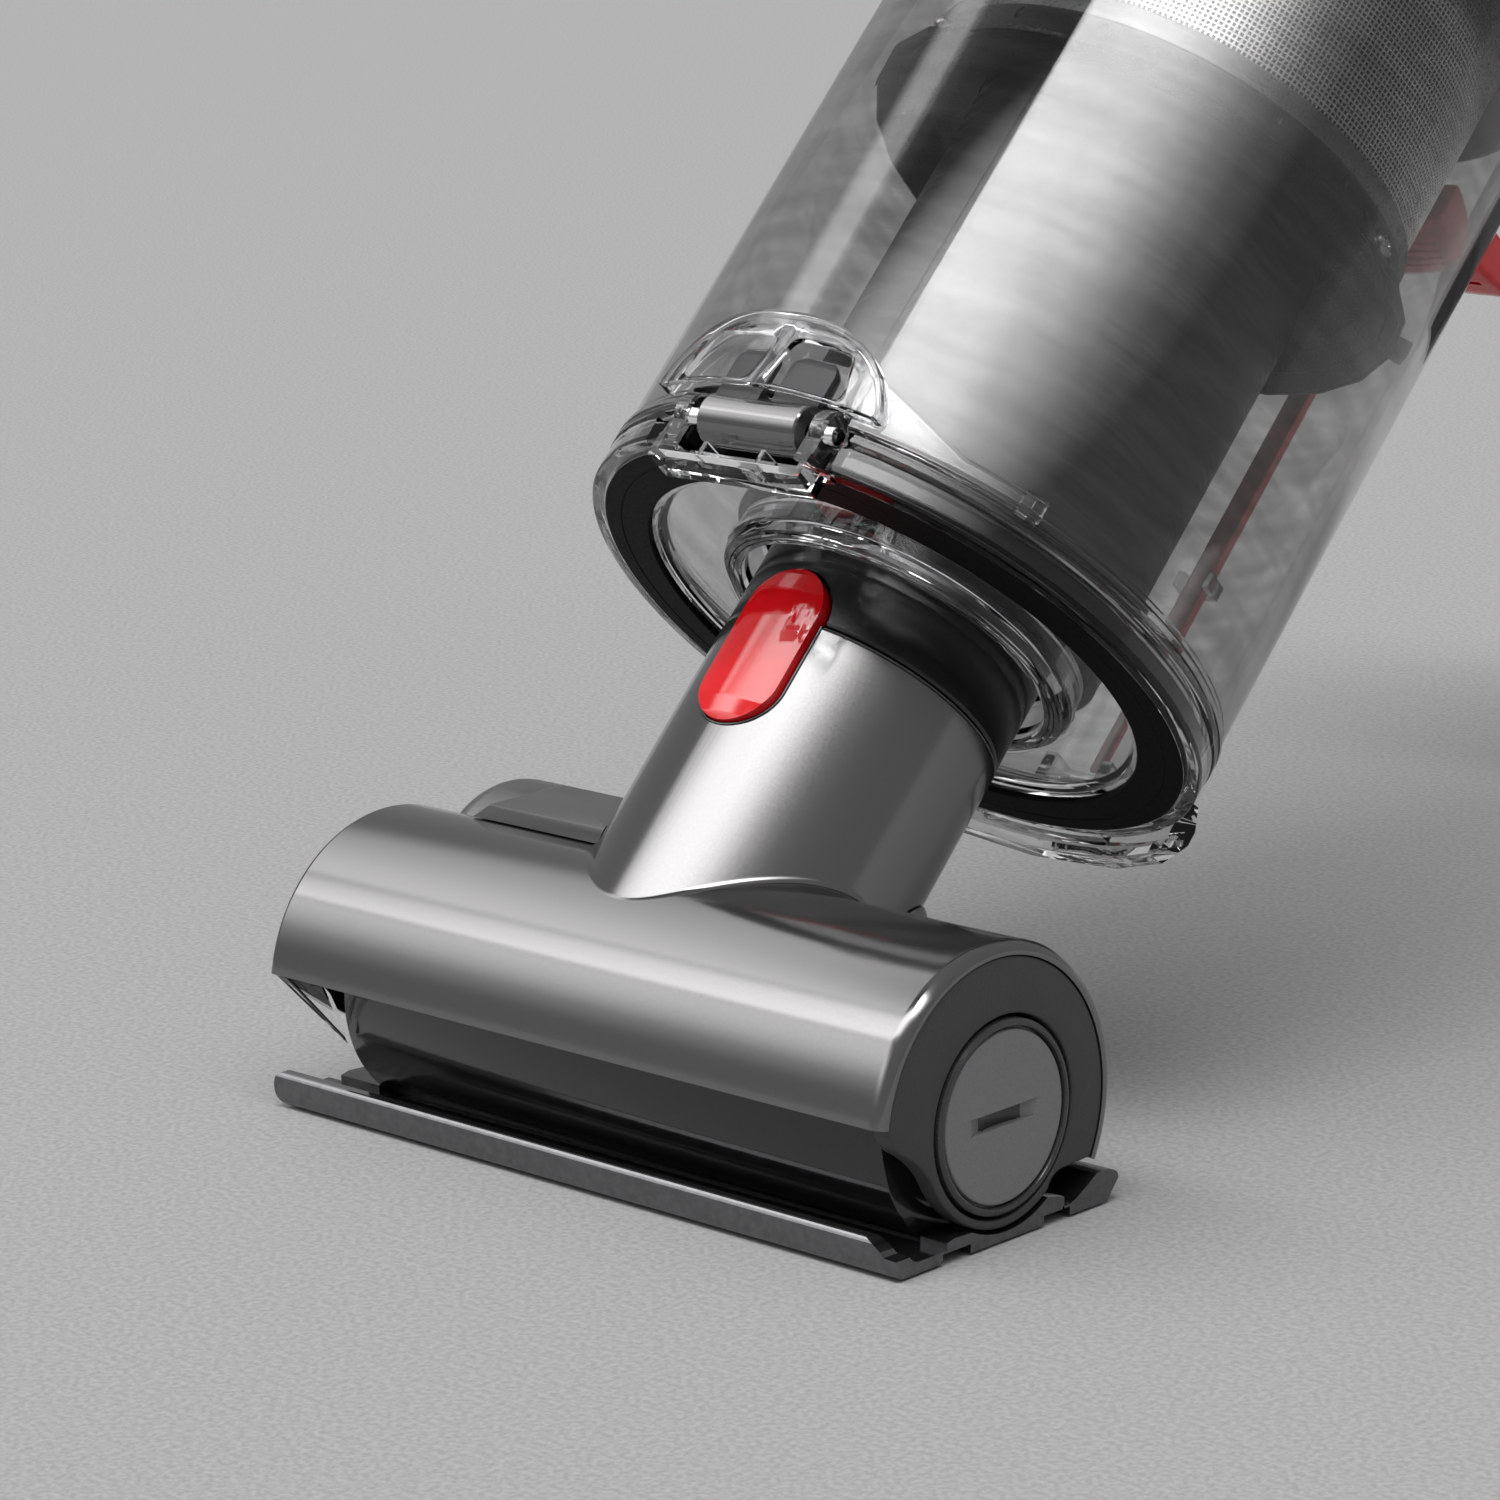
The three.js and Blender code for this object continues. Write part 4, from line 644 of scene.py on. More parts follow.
humpPiece = drawnPiece("hump", [(x, 4, z) for x, z in hump], (0, 18, 0))
softEdges(humpPiece, 0.6, 2, 20)
combine(motorCover, humpPiece)
cutAway(motorCover, rodPiece("cut", 28.9, -80, 80, archAxis, "X", 128))
neckCut = rodPiece("cut", 27, 0, 130, (0, 0), "Z", 128)
putPlace(neckCut, headPlace.inverted() @ machinePlace)
cutAway(motorCover, neckCut)
settle(motorCover, "head", "gunmetalSoft", "motor_cover", 34, place=headPlace)
print("motor cover made")


# door: clear dished plate with fine rings round the inlet
bin = {"radius": 58.5, "wall": 2.3, "front": 86.5, "rear": 242, "landInner": 49.6}
door = {"front": 80.3, "rear": 85.9, "hole": 29.4, "rim": 59.0, "sealInner": 49.3, "sealOuter": 56.1}
hinge = {"y": -56, "z": 86.4, "barrel": 4.6, "left": -7, "right": 15, "armLeft": -13, "armRight": 21,
    "arm": 3.6}
hingeAxis = (hinge["y"], hinge["z"])
d0, d1 = door["front"], door["rear"]


def fineRings(start, end, count, low, high):
    # small saw-tooth rings on a face, as (radius, station)
    made = []
    for i in range(count):
        a = start + (end - start) * i / count
        b = start + (end - start) * (i + 0.75) / count
        made += [(a, low), (b, low), (b + 0.12, high), (start + (end - start) * (i + 1) / count - 0.12, high)]
    return made


doorProfile = [(door["hole"], d0 + 0.3), (door["hole"] + 0.3, d0)] + fineRings(29.9, 32.6, 3, d0,
    d0 + 0.45) + [(33.0, d0 + 0.5), (33.5, d0 + 2.0), (34.4, d0 + 2.2), (45.2, d0 + 2.2),
    (46.0, d0 + 1.9)] + fineRings(46.2, 48.6, 3, d0 + 1.0, d0 + 0.4) + [(48.8, d0), (57.9, d0),
    (58.6, d0 + 0.15), (58.95, d0 + 0.5), (door["rim"], d0 + 1.2), (door["rim"], d1 - 0.4), (58.6, d1),
    (56.7, d1), (56.7, d0 + 2.4), (48.7, d0 + 2.4), (48.7, d1 - 0.6), (46.7, d1 - 0.6), (45.4, d0 + 4.4),
    (33.4, d0 + 4.4), (33.4, 89.3), (30.6, 89.5), (door["hole"], 89.2), (door["hole"], d0 + 0.3)]
notch = -hinge["y"] - hinge["barrel"] - 0.3


def trimTop(piece):
    cutBox(piece, (hinge["armLeft"] - 0.6, -120, 60), (hinge["armRight"] + 0.6, -notch, 110))
    cutBox(piece, (-29.2, -120, d0 - 0.01), (29.2, hinge["y"] + 0.4, 110))
    return piece


doorPlate = trimTop(turnedPiece("doorPlate", doorProfile, 144))
cutAway(doorPlate, ringPiece("cut", [(46.2, d0 - 1), (56.2, d0 - 1), (56.2, d0 + 0.4), (49.2, d0 + 0.4),
    (49.2, d0 + 1.05), (46.2, d0 + 1.05)], 144))
armOutline = [(-59.2, 79.3), (-notch + 1, d0), (-notch + 1, 82.7), (-notch - 0.3, 82.7), (-notch - 0.3, d1),
    (-56, 87.4), (-59.2, 86.4)]
for left in (hinge["armLeft"], hinge["armRight"] - hinge["arm"]):
    arm = drawnPiece("arm", [(left, y, z) for y, z in armOutline], (hinge["arm"], 0, 0))
    combine(doorPlate, arm)
    combine(doorPlate, rodPiece("knuckle", 4.2, left, left + hinge["arm"], hingeAxis, "X", 40, 0.5))
bracket = boxPiece("bracket", (hinge["armLeft"], -59.6, 75.7), (hinge["armRight"], -53.5, 80.5))
cutBox(bracket, (hinge["armLeft"] + 1.4, -61, 77.1), (hinge["armRight"] - 1.4, -54.9, 82))
for i in range(2):
    x = hinge["armLeft"] + 9.6 + i * 13
    combine(bracket, boxPiece("rib", (x, -58.8, 76.4), (x + 0.9, -54.2, 80.3)))
combine(doorPlate, bracket)
lug = ringPiece("lug", [(57, d0), (60.2, d0), (60.2, d0 + 3), (57, d0 + 3)], 40, "Z", (0, 0), 28, 76)
combine(doorPlate, lug)
cutAway(doorPlate, rodPiece("cut", 1.8, -20, 28, hingeAxis, "X", 32))
softEdges(doorPlate, 0.18, 2, 42)
settle(doorPlate, "door", "clearDoor", "door_panel")

sealProfile = [(door["sealInner"], d0 + 2.75), (door["sealOuter"], d0 + 2.75), (door["sealOuter"], d1 - 0.2),
    (54.4, d1 + 0.05), (52.7, d1 + 0.3), (51, d1 + 0.05), (door["sealInner"], d1 - 0.2)]
doorSeal = trimTop(ringPiece("doorSeal", sealProfile, 144))
sealFace = [(47.3, d0 + 0.15), (47.6, d0 - 0.12), (52.6, d0 - 0.12), (52.8, d0 + 0.05), (53.0, d0 - 0.12),
    (55.9, d0 - 0.12), (56.1, d0 - 0.02), (56.1, d0 + 0.35), (49.3, d0 + 0.35), (49.3, d0 + 1.0),
    (47.3, d0 + 1.0)]
joinUp(doorSeal, trimTop(ringPiece("sealFace", sealFace, 144)))
settle(doorSeal, "door", "softRubber", "door_seal")
print("door and seal made")

# clear bin with a stepped rim, the hinge trough and the catch lugs
inner = bin["radius"] - bin["wall"]
b0 = bin["front"]
binProfile = [(bin["landInner"], b0 + 0.2), (bin["landInner"] + 0.2, b0), (59.0, b0), (59.2, b0 + 0.2),
    (59.2, b0 + 1.1), (58.9, b0 + 1.3), (58.9, b0 + 1.7), (59.2, b0 + 1.9), (59.2, b0 + 2.8),
    (58.9, b0 + 3.1), (58.55, b0 + 3.3), (bin["radius"], b0 + 3.8), (bin["radius"], bin["rear"]),
    (inner, bin["rear"]), (inner, b0 + 5.6), (inner - 0.25, b0 + 5.3), (inner - 0.25, b0 + 4.6),
    (inner - 0.7, b0 + 4.3), (inner - 0.9, b0 + 3.2), (54.6, b0 + 2.4), (53.6, b0 + 2.0),
    (bin["landInner"], b0 + 1.6)]
binTube = ringPiece("binTube", binProfile, 180)
gap = 0.6
troughFrom, troughTo = hinge["armLeft"] - 1.4, hinge["armRight"] + 1.4
trough = rodPiece("trough", hinge["barrel"] + gap + 1.2, troughFrom - 1.2, troughTo + 1.2, hingeAxis, "X", 48)
keepWithin(trough, turnedPiece("keep", [(0, b0), (bin["radius"] - 0.1, b0), (bin["radius"] - 0.1, b0 + 20),
    (0, b0 + 20)], 180))
combine(binTube, trough)
cutAway(binTube, rodPiece("hollow", hinge["barrel"] + gap, troughFrom, troughTo, hingeAxis, "X", 48))
cutBox(binTube, (troughFrom, hinge["y"] - 12, b0 - 2), (troughTo, hinge["y"] + 0.4,
    hinge["z"] + hinge["barrel"] + gap))
latch = {"y": 64.4, "z": 94.5, "pin": 1.2, "lug": 2.4, "knuckle": 5}
latchAxis = (latch["y"], latch["z"])
for side in (-1, 1):
    a, b = sorted((side * (latch["knuckle"] + 0.4), side * (latch["knuckle"] + 0.4 + latch["lug"])))
    lugPiece = boxPiece("lug", (a, bin["radius"] - 1, latch["z"] - 2.6), (b, latch["y"], latch["z"] + 2.6))
    combine(lugPiece, rodPiece("round", 2.6, a, b, latchAxis, "X", 28, 0.3))
    cutAway(lugPiece, rodPiece("cut", latch["pin"] + 0.2, -20, 20, latchAxis, "X", 24))
    combine(binTube, lugPiece)
strip = {"from": 122, "outer": 62.1, "lever": 226}
for at in (strip["from"] + 12, strip["lever"] - 21):
    loop = boxPiece("loop", (0, 57, at), (9, strip["outer"] + 1.2, at + 3))
    cutBox(loop, (1.5, 50, at - 1), (7.5, strip["outer"] + 0.4, at + 4))
    combine(binTube, loop)
settle(binTube, "bin", "smokedBin", "bin_shell", 25)
print("bin made")

# clear fin on the bin beside the hinge, falling to a small tab
fin = ringPiece("fin", [(58.4, 88.6), (59.7, 88.6), (59.9, 88.9), (59.9, 104), (58.4, 104)], 40, "Z", (0, 0),
    32, -69)
slope = drawnPiece("slope", [(12, -70, 112), (12, -70, 103.6), (38.5, -70, 92.2), (60, -70, 92.2),
    (60, -70, 112)], (0, 60, 0))
cutAway(fin, slope)
finTab = ringPiece("finTab", [(58.4, 88.6), (60.4, 88.6), (60.4, 92.6), (58.4, 92.6)], 8, "Z", (0, 0), 4, -39)
joinUp(fin, finTab)
settle(fin, "bin", "clearPlastic", "", 25)

# hinge barrel with two rounded fingers and a recessed end, pin with round heads
fingerTop = bin["radius"] + 1.3


def fingerPiece(x, front, rear, half):
    r = 3.2
    points = [(x - half, front), (x + half, front)] + [(a, b) for a,
        b in arcPoints((x + half - r, rear - r), r, 0, 90, 8)] + [(a, b) for a,
        b in arcPoints((x - half + r, rear - r), r, 90, 180, 8)]
    made = drawnPiece("finger", [(a, -52, b) for a, b in points], (0, -12, 0))
    keepWithin(made, turnedPiece("keep", [(0, 80), (fingerTop, 80), (fingerTop, 97.6),
        (fingerTop - 0.5, 98.9), (fingerTop - 1.5, 99.6), (0, 99.6)], 180))
    return made


barrelProfile = [(1.8, hinge["left"] + 5), (3.7, hinge["left"] + 5), (3.7, hinge["left"] + 0.3),
    (3.9, hinge["left"]), (4.35, hinge["left"]), (4.6, hinge["left"] + 0.3), (4.6, hinge["right"] - 0.3),
    (4.35, hinge["right"]), (1.8, hinge["right"])]
barrel = ringPiece("barrel", barrelProfile, 64, "X", hingeAxis)
dress(barrel, "gunmetalPaint")
fingers = fingerPiece(-1.4, hinge["z"], 99.5, 4.9)
joinUp(fingers, fingerPiece(10.6, hinge["z"], 99.5, 4.4))
cutAway(fingers, turnedPiece("cut", [(0, 91), (58.85, 91), (58.85, 110), (0, 110)], 180))
cutAway(fingers, rodPiece("cut", 4.3, -20, 30, hingeAxis, "X", 48))
softEdges(fingers, 0.35, 3, 40)
dress(fingers, "texturedGrey")
joinUp(barrel, fingers)
settle(barrel, "bin", "gunmetalPaint", "hinge_barrel", 34)
barrelRim = ringPiece("barrelRim", [(1.85, hinge["left"] + 4.9), (3.65, hinge["left"] + 4.9),
    (3.65, hinge["left"] + 0.2), (3.2, hinge["left"] + 0.2), (3.0, hinge["left"] + 3.4),
    (1.85, hinge["left"] + 4.2)], 48, "X", hingeAxis)
settle(barrelRim, "bin", "glossBlack", "", 32)
pinProfile = [(0, hinge["armLeft"] - 0.4), (1.0, hinge["armLeft"] - 0.4), (1.5, hinge["armLeft"] + 0.1),
    (1.5, hinge["armRight"] - 0.1), (1.0, hinge["armRight"] + 0.4), (0, hinge["armRight"] + 0.4)]
hingePin = turnedPiece("hingePin", pinProfile, 40, "X", hingeAxis)
settle(hingePin, "bin", "clearPlastic", "hinge_pin", 32)

# clear cover over the hinge: arched frame with two windows and a slanting rib
hood = {"left": -22, "right": 26, "from": 91, "to": 106, "outer": 61.6, "inner": 58.8}


def coverOutline(grow):
    left, right = hood["left"] + grow, hood["right"] - grow
    top, base = hood["to"] - grow, hood["from"]
    middle = (left + right) / 2
    made = [(left, base - 6), (left, base + 1.5)]
    made += curvePoints([(left, base + 1.5), (left + 4.5, top), (middle - 3, top)], 16)[1:]
    made += curvePoints([(middle + 3, top), (right - 4.5, top), (right, base + 1.5)], 16)
    return made + [(right, base - 6)]


def coverBlock(grow, outer, innerRadius, front, rear):
    made = drawnPiece("coverBlock", [(x, -50, z) for x, z in coverOutline(grow)], (0, -16, 0))
    keepWithin(made, ringPiece("keep", [(innerRadius, front), (outer, front), (outer, rear),
        (innerRadius, rear)], 180))
    return made


hingeCover = coverBlock(0, hood["outer"], hood["inner"], hood["from"], hood["to"] + 1)
cutAway(hingeCover, coverBlock(1.4, hood["outer"] - 1.1, hood["inner"] - 2, hood["from"] - 2, hood["to"]))


def roundWindow(x0, x1, x2, x3, z0, z1):
    # a four-sided window with rounded corners, x0..x1 at the front and x2..x3 behind
    made = drawnPiece("window", [(x0, -56, z0), (x1, -56, z0), (x3, -56, z1), (x2, -56, z1)], (0, -8, 0))
    return softEdges(made, 1.8, 4, 30)


cutAway(hingeCover, roundWindow(-15.5, 0.2, -13.4, 2.4, 91.6, 101.2))
cutAway(hingeCover, roundWindow(3.4, 19.6, 5.6, 17.4, 91.6, 101.2))
softEdges(hingeCover, 0.3, 2, 40)
settle(hingeCover, "bin", "clearPlastic", "hinge_cover")

# clear faceted catch under the door, its arm and pin
span = 27


def catchWedge(outer, innerRadius, front, rear, steps):
    profile = [(innerRadius, front), (outer, front), (outer, rear), (innerRadius, rear)]
    return ringPiece("wedge", profile, steps, "Z", (0, 0), 2 * span, 90 - span)


doorCatch = catchWedge(67.4, 62.4, 77.7, 90.5, 9)
combine(doorCatch, catchWedge(63.6, 60.55, 77.7, 79.9, 9))
nose = [(0, 60.3), (64.6, 70.3), (64.6, 77.7), (67.4, 83.3), (67.4, 86.3), (62, 99.3), (0, 99.3)]
keepWithin(doorCatch, turnedPiece("keep", nose, 20, "Z", (0, 0), 360, 4.5))
armPiece = boxPiece("arm", (-5, 62.4, 88.5), (5, 66, 94.5))
combine(armPiece, rodPiece("round", 2.5, -5, 5, latchAxis, "X", 28))
combine(doorCatch, armPiece)
cutAway(doorCatch, rodPiece("cut", 1.4, -20, 20, latchAxis, "X", 24))
softEdges(doorCatch, 0.25, 1, 50)
settle(doorCatch, "catch", "clearPlastic", "door_catch", 20)
catchPin = turnedPiece("catchPin", [(0, -8), (0.9, -8), (1.2, -7.7), (1.2, 7.7), (0.9, 8), (0, 8)], 28, "X",
    latchAxis)
settle(catchPin, "bin", "steelTurned", "catch_pin", 32)
print("hinge, cover and catch made")


# dust tube, its seal and the inlet duct
tube = {"radius": 35, "front": 91, "rear": 236, "wall": 1.8}
tubeProfile = [(tube["radius"] - tube["wall"], tube["front"] + 0.3),
    (tube["radius"] - tube["wall"] + 0.3, tube["front"]), (tube["radius"] - 0.5, tube["front"]),
    (tube["radius"], tube["front"] + 0.5), (tube["radius"], tube["rear"] - 0.3),
    (tube["radius"] - tube["wall"], tube["rear"] - 0.3)]
dustTube = ringPiece("dustTube", tubeProfile, 160)
settle(dustTube, "machine", "dustySatin", "fine_dust_tube")
sealRing = ringPiece("sealRing", [(31.4, 90), (31.6, 89.8), (32.7, 89.8), (32.9, 90), (32.9, 92),
    (32.5, 92.6), (32.9, 93.2), (32.9, 95.8), (31.4, 95.8), (31.4, 93.6), (31.8, 93), (31.4, 92.4)], 120)
settle(sealRing, "machine", "softRubber", "tube_seal")
ductPiece = ringPiece("ductPiece", [(22.2, 94.3), (24.4, 94.3), (24.4, 236), (22.2, 236)], 96)
settle(ductPiece, "machine", "satinBlack", "inlet_duct")
spigotPiece = ringPiece("spigotPiece", [(19.2, 30), (21.2, 30), (21.2, 40), (23.6, 40), (23.6, 43),
    (21.2, 43), (21.2, 55), (20.6, 55.6), (20.6, 57.6), (21.2, 58.2), (21.2, 82.8), (20.9, 83.6), (20.4, 84),
    (19.2, 84)], 96)
settle(spigotPiece, "head", "satinBlack", "spigot")

# skirt with a row of small scoops under the band
skirt = {"to": 182.6, "tubeGap": 35.35}


skirtPiece = ringPiece("skirtPiece", [(skirt["tubeGap"], 181.6), (skirt["tubeGap"], 180.9), (44.5, 180.4),
    (48.1, 176.9), (48.5, 176.6), (48.95, 176.75), (49.15, 177.3), (48.6, 181.6), (48.3, skirt["to"]),
    (44, skirt["to"]), (44, 181.6)], 144)
deselectAll()
bpy.ops.mesh.primitive_uv_sphere_add(segments=20, ring_count=12, radius=1 * mm)
scoop = bpy.context.active_object
scoop.name = "scoop"
putPlace(scoop, Matrix.Translation((49.0 * mm, 0, 180.5 * mm)) @ Matrix.Rotation(math.radians(-5), 4,
    "Y") @ Matrix.Diagonal((0.85, 0.9, 1.75, 1)))
for i in range(18):
    copy = copyOf(scoop)
    putPlace(copy, Matrix.Rotation(math.radians(10 + 20 * i), 4, "Z"))
    cutAway(skirtPiece, copy)
bpy.data.objects.remove(scoop)
settle(skirtPiece, "machine", "skirtBlack", "skirt")

# faceted flare round the sides and underneath, open at the top
flare = ringPiece("flare", [(48.3, 177.8), (51.6, 174.2), (52.0, 174), (52.5, 174.15), (52.7, 174.9),
    (51.6, 176.6), (49.6, 179.4), (48.3, 179.6)], 17, "Z", (0, 0), 255, -3)
screwPlaces = [(Matrix.Rotation(math.radians(angle), 4, "Z") @ Matrix.Translation((50.9 * mm, 0,
    177.2 * mm)) @ Matrix.Rotation(math.radians(58), 4, "Y"), size) for angle,
    size in ((5, 2.3), (-108, 1.4))]
for screwPlace, size in screwPlaces:
    recess = turnedPiece("recess", [(0, -0.4), (size * 1.6, -0.4), (size * 1.8, 5), (0, 5)], 36)
    putPlace(recess, screwPlace)
    cutAway(flare, recess)
settle(flare, "machine", "skirtBlack", "", 9)

band = {"radius": 47.6, "from": 182.9, "to": 187.9}
bandPiece = ringPiece("bandPiece", [(43.3, band["from"] + 0.2), (43.5, band["from"]), (47.1, band["from"]),
    (band["radius"], band["from"] + 0.5), (band["radius"], band["to"] - 0.6), (47.0, band["to"]),
    (43.3, band["to"])], 180)
settle(bandPiece, "machine", "satinBand", "shroud_band")

# screws in their recesses on the skirt, and one small tab
for screwPlace, size in screwPlaces:
    boss = turnedPiece("skirtScrew", [(0, -0.6), (size, -0.6), (size, 0.5), (size - 0.4, 0.9),
        (size * 0.45, 0.9), (size * 0.4, 0.3), (0, 0.3)], 28)
    putPlace(boss, screwPlace)
    settle(boss, "machine", "steelTurned", "", 32)
tab = boxPiece("skirtTab", (51.4, -2.2, 174.2), (55.0, 2.2, 177.4))
softEdges(tab, 0.3, 2, 40)
putPlace(tab, Matrix.Rotation(math.radians(40.6), 4, "Z"))
settle(tab, "machine", "skirtBlack", "", 32)

# perforated shroud in two halves, small square pits in rows
mesh = {"radius": 46.2, "from": 188.2, "to": 236.2, "columns": 145, "rows": 48, "web": 0.17, "depth": 0.4}
for half in range(2):
    sheet = startLine("meshHalf" + "AB"[half], [(0, (1 if half else -1) * mesh["radius"], mesh["from"]),
        (0, (1 if half else -1) * mesh["radius"], mesh["to"])])
    selectFaces()
    bpy.ops.mesh.subdivide(number_cuts=mesh["rows"] - 1)
    selectFaces()
    bpy.ops.mesh.spin(steps=mesh["columns"], angle=math.pi, center=(0, 0, 0), axis=(0, 0, 1))
    selectFaces()
    bpy.ops.mesh.remove_doubles(threshold=0.00001)
    bpy.ops.object.mode_set(mode="OBJECT")
    if sum(face.normal.x * face.center.x + face.normal.y * face.center.y for face in sheet.data.polygons) < 0:
        bpy.ops.object.mode_set(mode="EDIT")
        selectFaces()
        bpy.ops.mesh.flip_normals()
    else:
        bpy.ops.object.mode_set(mode="EDIT")
    selectFaces()
    bpy.ops.mesh.inset(thickness=mesh["web"] * mm, depth=0, use_individual=True)
    bpy.ops.mesh.inset(thickness=0.06 * mm, depth=-mesh["depth"] * mm, use_individual=True)
    bpy.ops.object.mode_set(mode="OBJECT")
    dress(sheet, "meshSteel")
    dress(sheet, "softRubber")
    for face in sheet.data.polygons:
        reach = math.hypot(face.center.x, face.center.y) / mm
        if reach < mesh["radius"] - mesh["depth"] + 0.1:
            face.material_index = 1
    putPlace(sheet, machinePlace)
    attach(sheet, "machine")
    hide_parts("mesh_shroud")
liner = ringPiece("meshLiner", [(44.6, mesh["from"]), (45.7, mesh["from"]), (45.7, mesh["to"]),
    (44.6, mesh["to"])], 120)
settle(liner, "machine", "softRubber", "", 32)
print("tubes, skirt and mesh made")

# red release strip in its loops, and the lever
rod = boxPiece("stripRod", (2, 59.7, 95.5), (5, 60.9, 123))
stripPiece = boxPiece("stripPiece", (2, 59.7, 122), (7, 62.1, 232))
combine(stripPiece, rod)
softEdges(stripPiece, 0.35, 2, 40)
settle(stripPiece, "release", "redPlastic", "release_strip")
leverOutline = curvePoints([(62.5, 223.4), (76, 222.6), (88, 226.6)],
    12) + curvePoints([(88, 226.6), (90.6, 228.4), (89.6, 231.4)],
    6)[1:] + curvePoints([(89.6, 231.4), (88.6, 233.8), (84.5, 232.6)], 6)[1:] + [(62.5, 232)]
lever = drawnPiece("lever", [(-13.8, y, z) for y, z in leverOutline], (27.6, 0, 0))
softEdges(lever, 1.2, 4, 35)
for i in range(5):
    y = 71 + i * 3.4
    cutAway(lever, boxPiece("rib", (-10, y, 221), (10, y + 1.3, 225.2 + 0.15 * i)))
settle(lever, "release", "redPlastic", "bin_release_lever")

# dark collar at the rear of the bin
collarRing = ringPiece("collarRing", [(58.8, 234.3), (59.1, 234), (60.1, 234), (60.6, 234.6), (60.7, 235.2),
    (60.7, 242.4), (60.2, 243), (58.8, 243)], 180)
cutBox(collarRing, (1, 55, 232), (8, 66, 245))
settle(collarRing, "bin", "texturedGrey", "bin_collar")
print("release and collar made")


# cyclone pack: drum, ten cones and their ring
pack = {"front": 236.3, "cones": 10, "coneRadius": 9.4, "pitch": 46.6}
drumProfile = [(22.2, pack["front"]), (55.3, pack["front"]), (55.6, pack["front"] + 0.3), (55.6, 243.4),
    (58.8, 243.4), (59.1, 243.8), (59.1, 247.2), (58.6, 248), (46, 249), (45, 250), (45, 291), (46, 292),
    (53.4, 292.6), (54, 293.4), (54, 297.4), (53.4, 298), (18, 298), (18, 248), (22.2, 246)]
drum = ringPiece("drum", drumProfile, 160)
coneProfile = [(0, 247), (pack["coneRadius"] + 0.5, 247), (pack["coneRadius"] + 0.5, 249.5),
    (pack["coneRadius"], 250.2), (pack["coneRadius"], 263), (7.4, 292.5), (0, 292.5)]
for k in range(pack["cones"]):
    angle = (k + 0.5) * 2 * math.pi / pack["cones"]
    cone = turnedPiece("cone", coneProfile, 40)
    putPlace(cone, Matrix.Translation((pack["pitch"] * math.cos(angle) * mm,
        pack["pitch"] * math.sin(angle) * mm, 0)))
    rib = drawnPiece("rib", [(-0.9, 51, 252), (0.9, 51, 252), (0.9, 51, 290), (-0.9, 51, 290)], (0, 3.4, 0))
    putPlace(rib, Matrix.Rotation(angle + math.pi / pack["cones"] - math.pi / 2, 4, "Z"))
    joinUp(drum, cone, rib)
settle(drum, "machine", "texturedGrey", "cyclone_pack")

# main body, tapering to the filter, with the slide's slot and side ribs
body = {}
bodyProfile = [(50.9, 298.6), (51.1, 298.3), (51.4, 298.5), (52.4, 300), (53.4, 301.8),
    (54, 303.4)] + curvePoints([(54, 343), (53.8, 357), (46.7, 371.6)], 26) + [(46.4, 372), (44.1, 372),
    (49.6, 357), (51.6, 345), (51.6, 302.6), (50.9, 298.6)]
bodyPiece = turnedPiece("bodyPiece", bodyProfile, 180)
cutBox(bodyPiece, (-1.8, -60, 312.4), (1.8, -46, 335.6))
cutBox(bodyPiece, (-6, 40, 325), (6, 60, 337))
settle(bodyPiece, "machine", "gunmetalPaint", "main_body")
for z in (304.6, 341.4):
    trim = ringPiece("bodyTrim", [(53.6, z), (54.0, z), (54.15, z + 0.2), (54.15, z + 1.0), (54.0, z + 1.2),
        (53.6, z + 1.2)], 180)
    settle(trim, "machine", "ringGrey", "", 32)

# mode slider with grip ridges
slider = boxPiece("slider", (-7, -56.6, 310.1), (7, -54.35, 321.9))
for i in range(4):
    cutBox(slider, (-5.6, -58, 312.6 + 2.1 * i), (5.6, -56.1, 313.5 + 2.1 * i))
softEdges(slider, 0.4, 3, 40)
joinUp(slider, boxPiece("tongue", (-1.3, -55, 313), (1.3, -50.7, 319)))
settle(slider, "mode_switch", "texturedGrey", "mode_slider")

# motor case, its rubber ring and the fan
caseProfile = [(3.7, 302), (27, 302), (28.8, 302.6), (30, 305), (30, 343), (33.6, 345), (33.6, 349.7),
    (3.7, 349.7), (3.7, 345), (24, 342), (24, 306), (3.7, 305)]
motorPiece = ringPiece("motorPiece", caseProfile, 96)
settle(motorPiece, "machine", "steelTurned", "motor_case")
mountPiece = ringPiece("mountPiece", [(30.3, 337), (34, 337), (35, 338.2), (47, 338.2), (48, 337),
    (51.3, 337), (51.3, 342), (48, 342), (47, 340.8), (35, 340.8), (34, 342), (30.3, 342)], 96)
settle(mountPiece, "machine", "softRubber", "motor_mount")
wheel = turnedPiece("wheel", [(0, 300), (2.8, 300), (3.4, 300.6), (3.4, 353), (22.6, 353), (23, 353.4),
    (23, 354.2), (16, 356.8), (9, 361), (5.5, 366.4), (4.6, 367), (0, 367)], 72)
for k in range(9):
    bladeFront = [(r * math.cos(a), r * math.sin(a)) for r, a in ((5 + 17.6 * t,
        0.9 * t * t) for t in [i / 10 for i in range(11)])]
    bladeBack = [(r * math.cos(a), r * math.sin(a)) for r, a in ((5 + 17.6 * t,
        0.9 * t * t + 0.8 / (5 + 17.6 * t)) for t in [i / 10 for i in range(11)])]
    blade = drawnPiece("blade", [(x, y, 353.4) for x, y in bladeFront + bladeBack[::-1]], (0, 0, 12.5))
    keepWithin(blade, turnedPiece("keep", [(0, 353), (22.8, 353), (22.8, 357), (13, 366), (0, 366)], 40))
    putPlace(blade, Matrix.Rotation(2 * math.pi * k / 9, 4, "Z"))
    joinUp(wheel, blade)
settle(wheel, "fan", "steelTurned", "impeller")
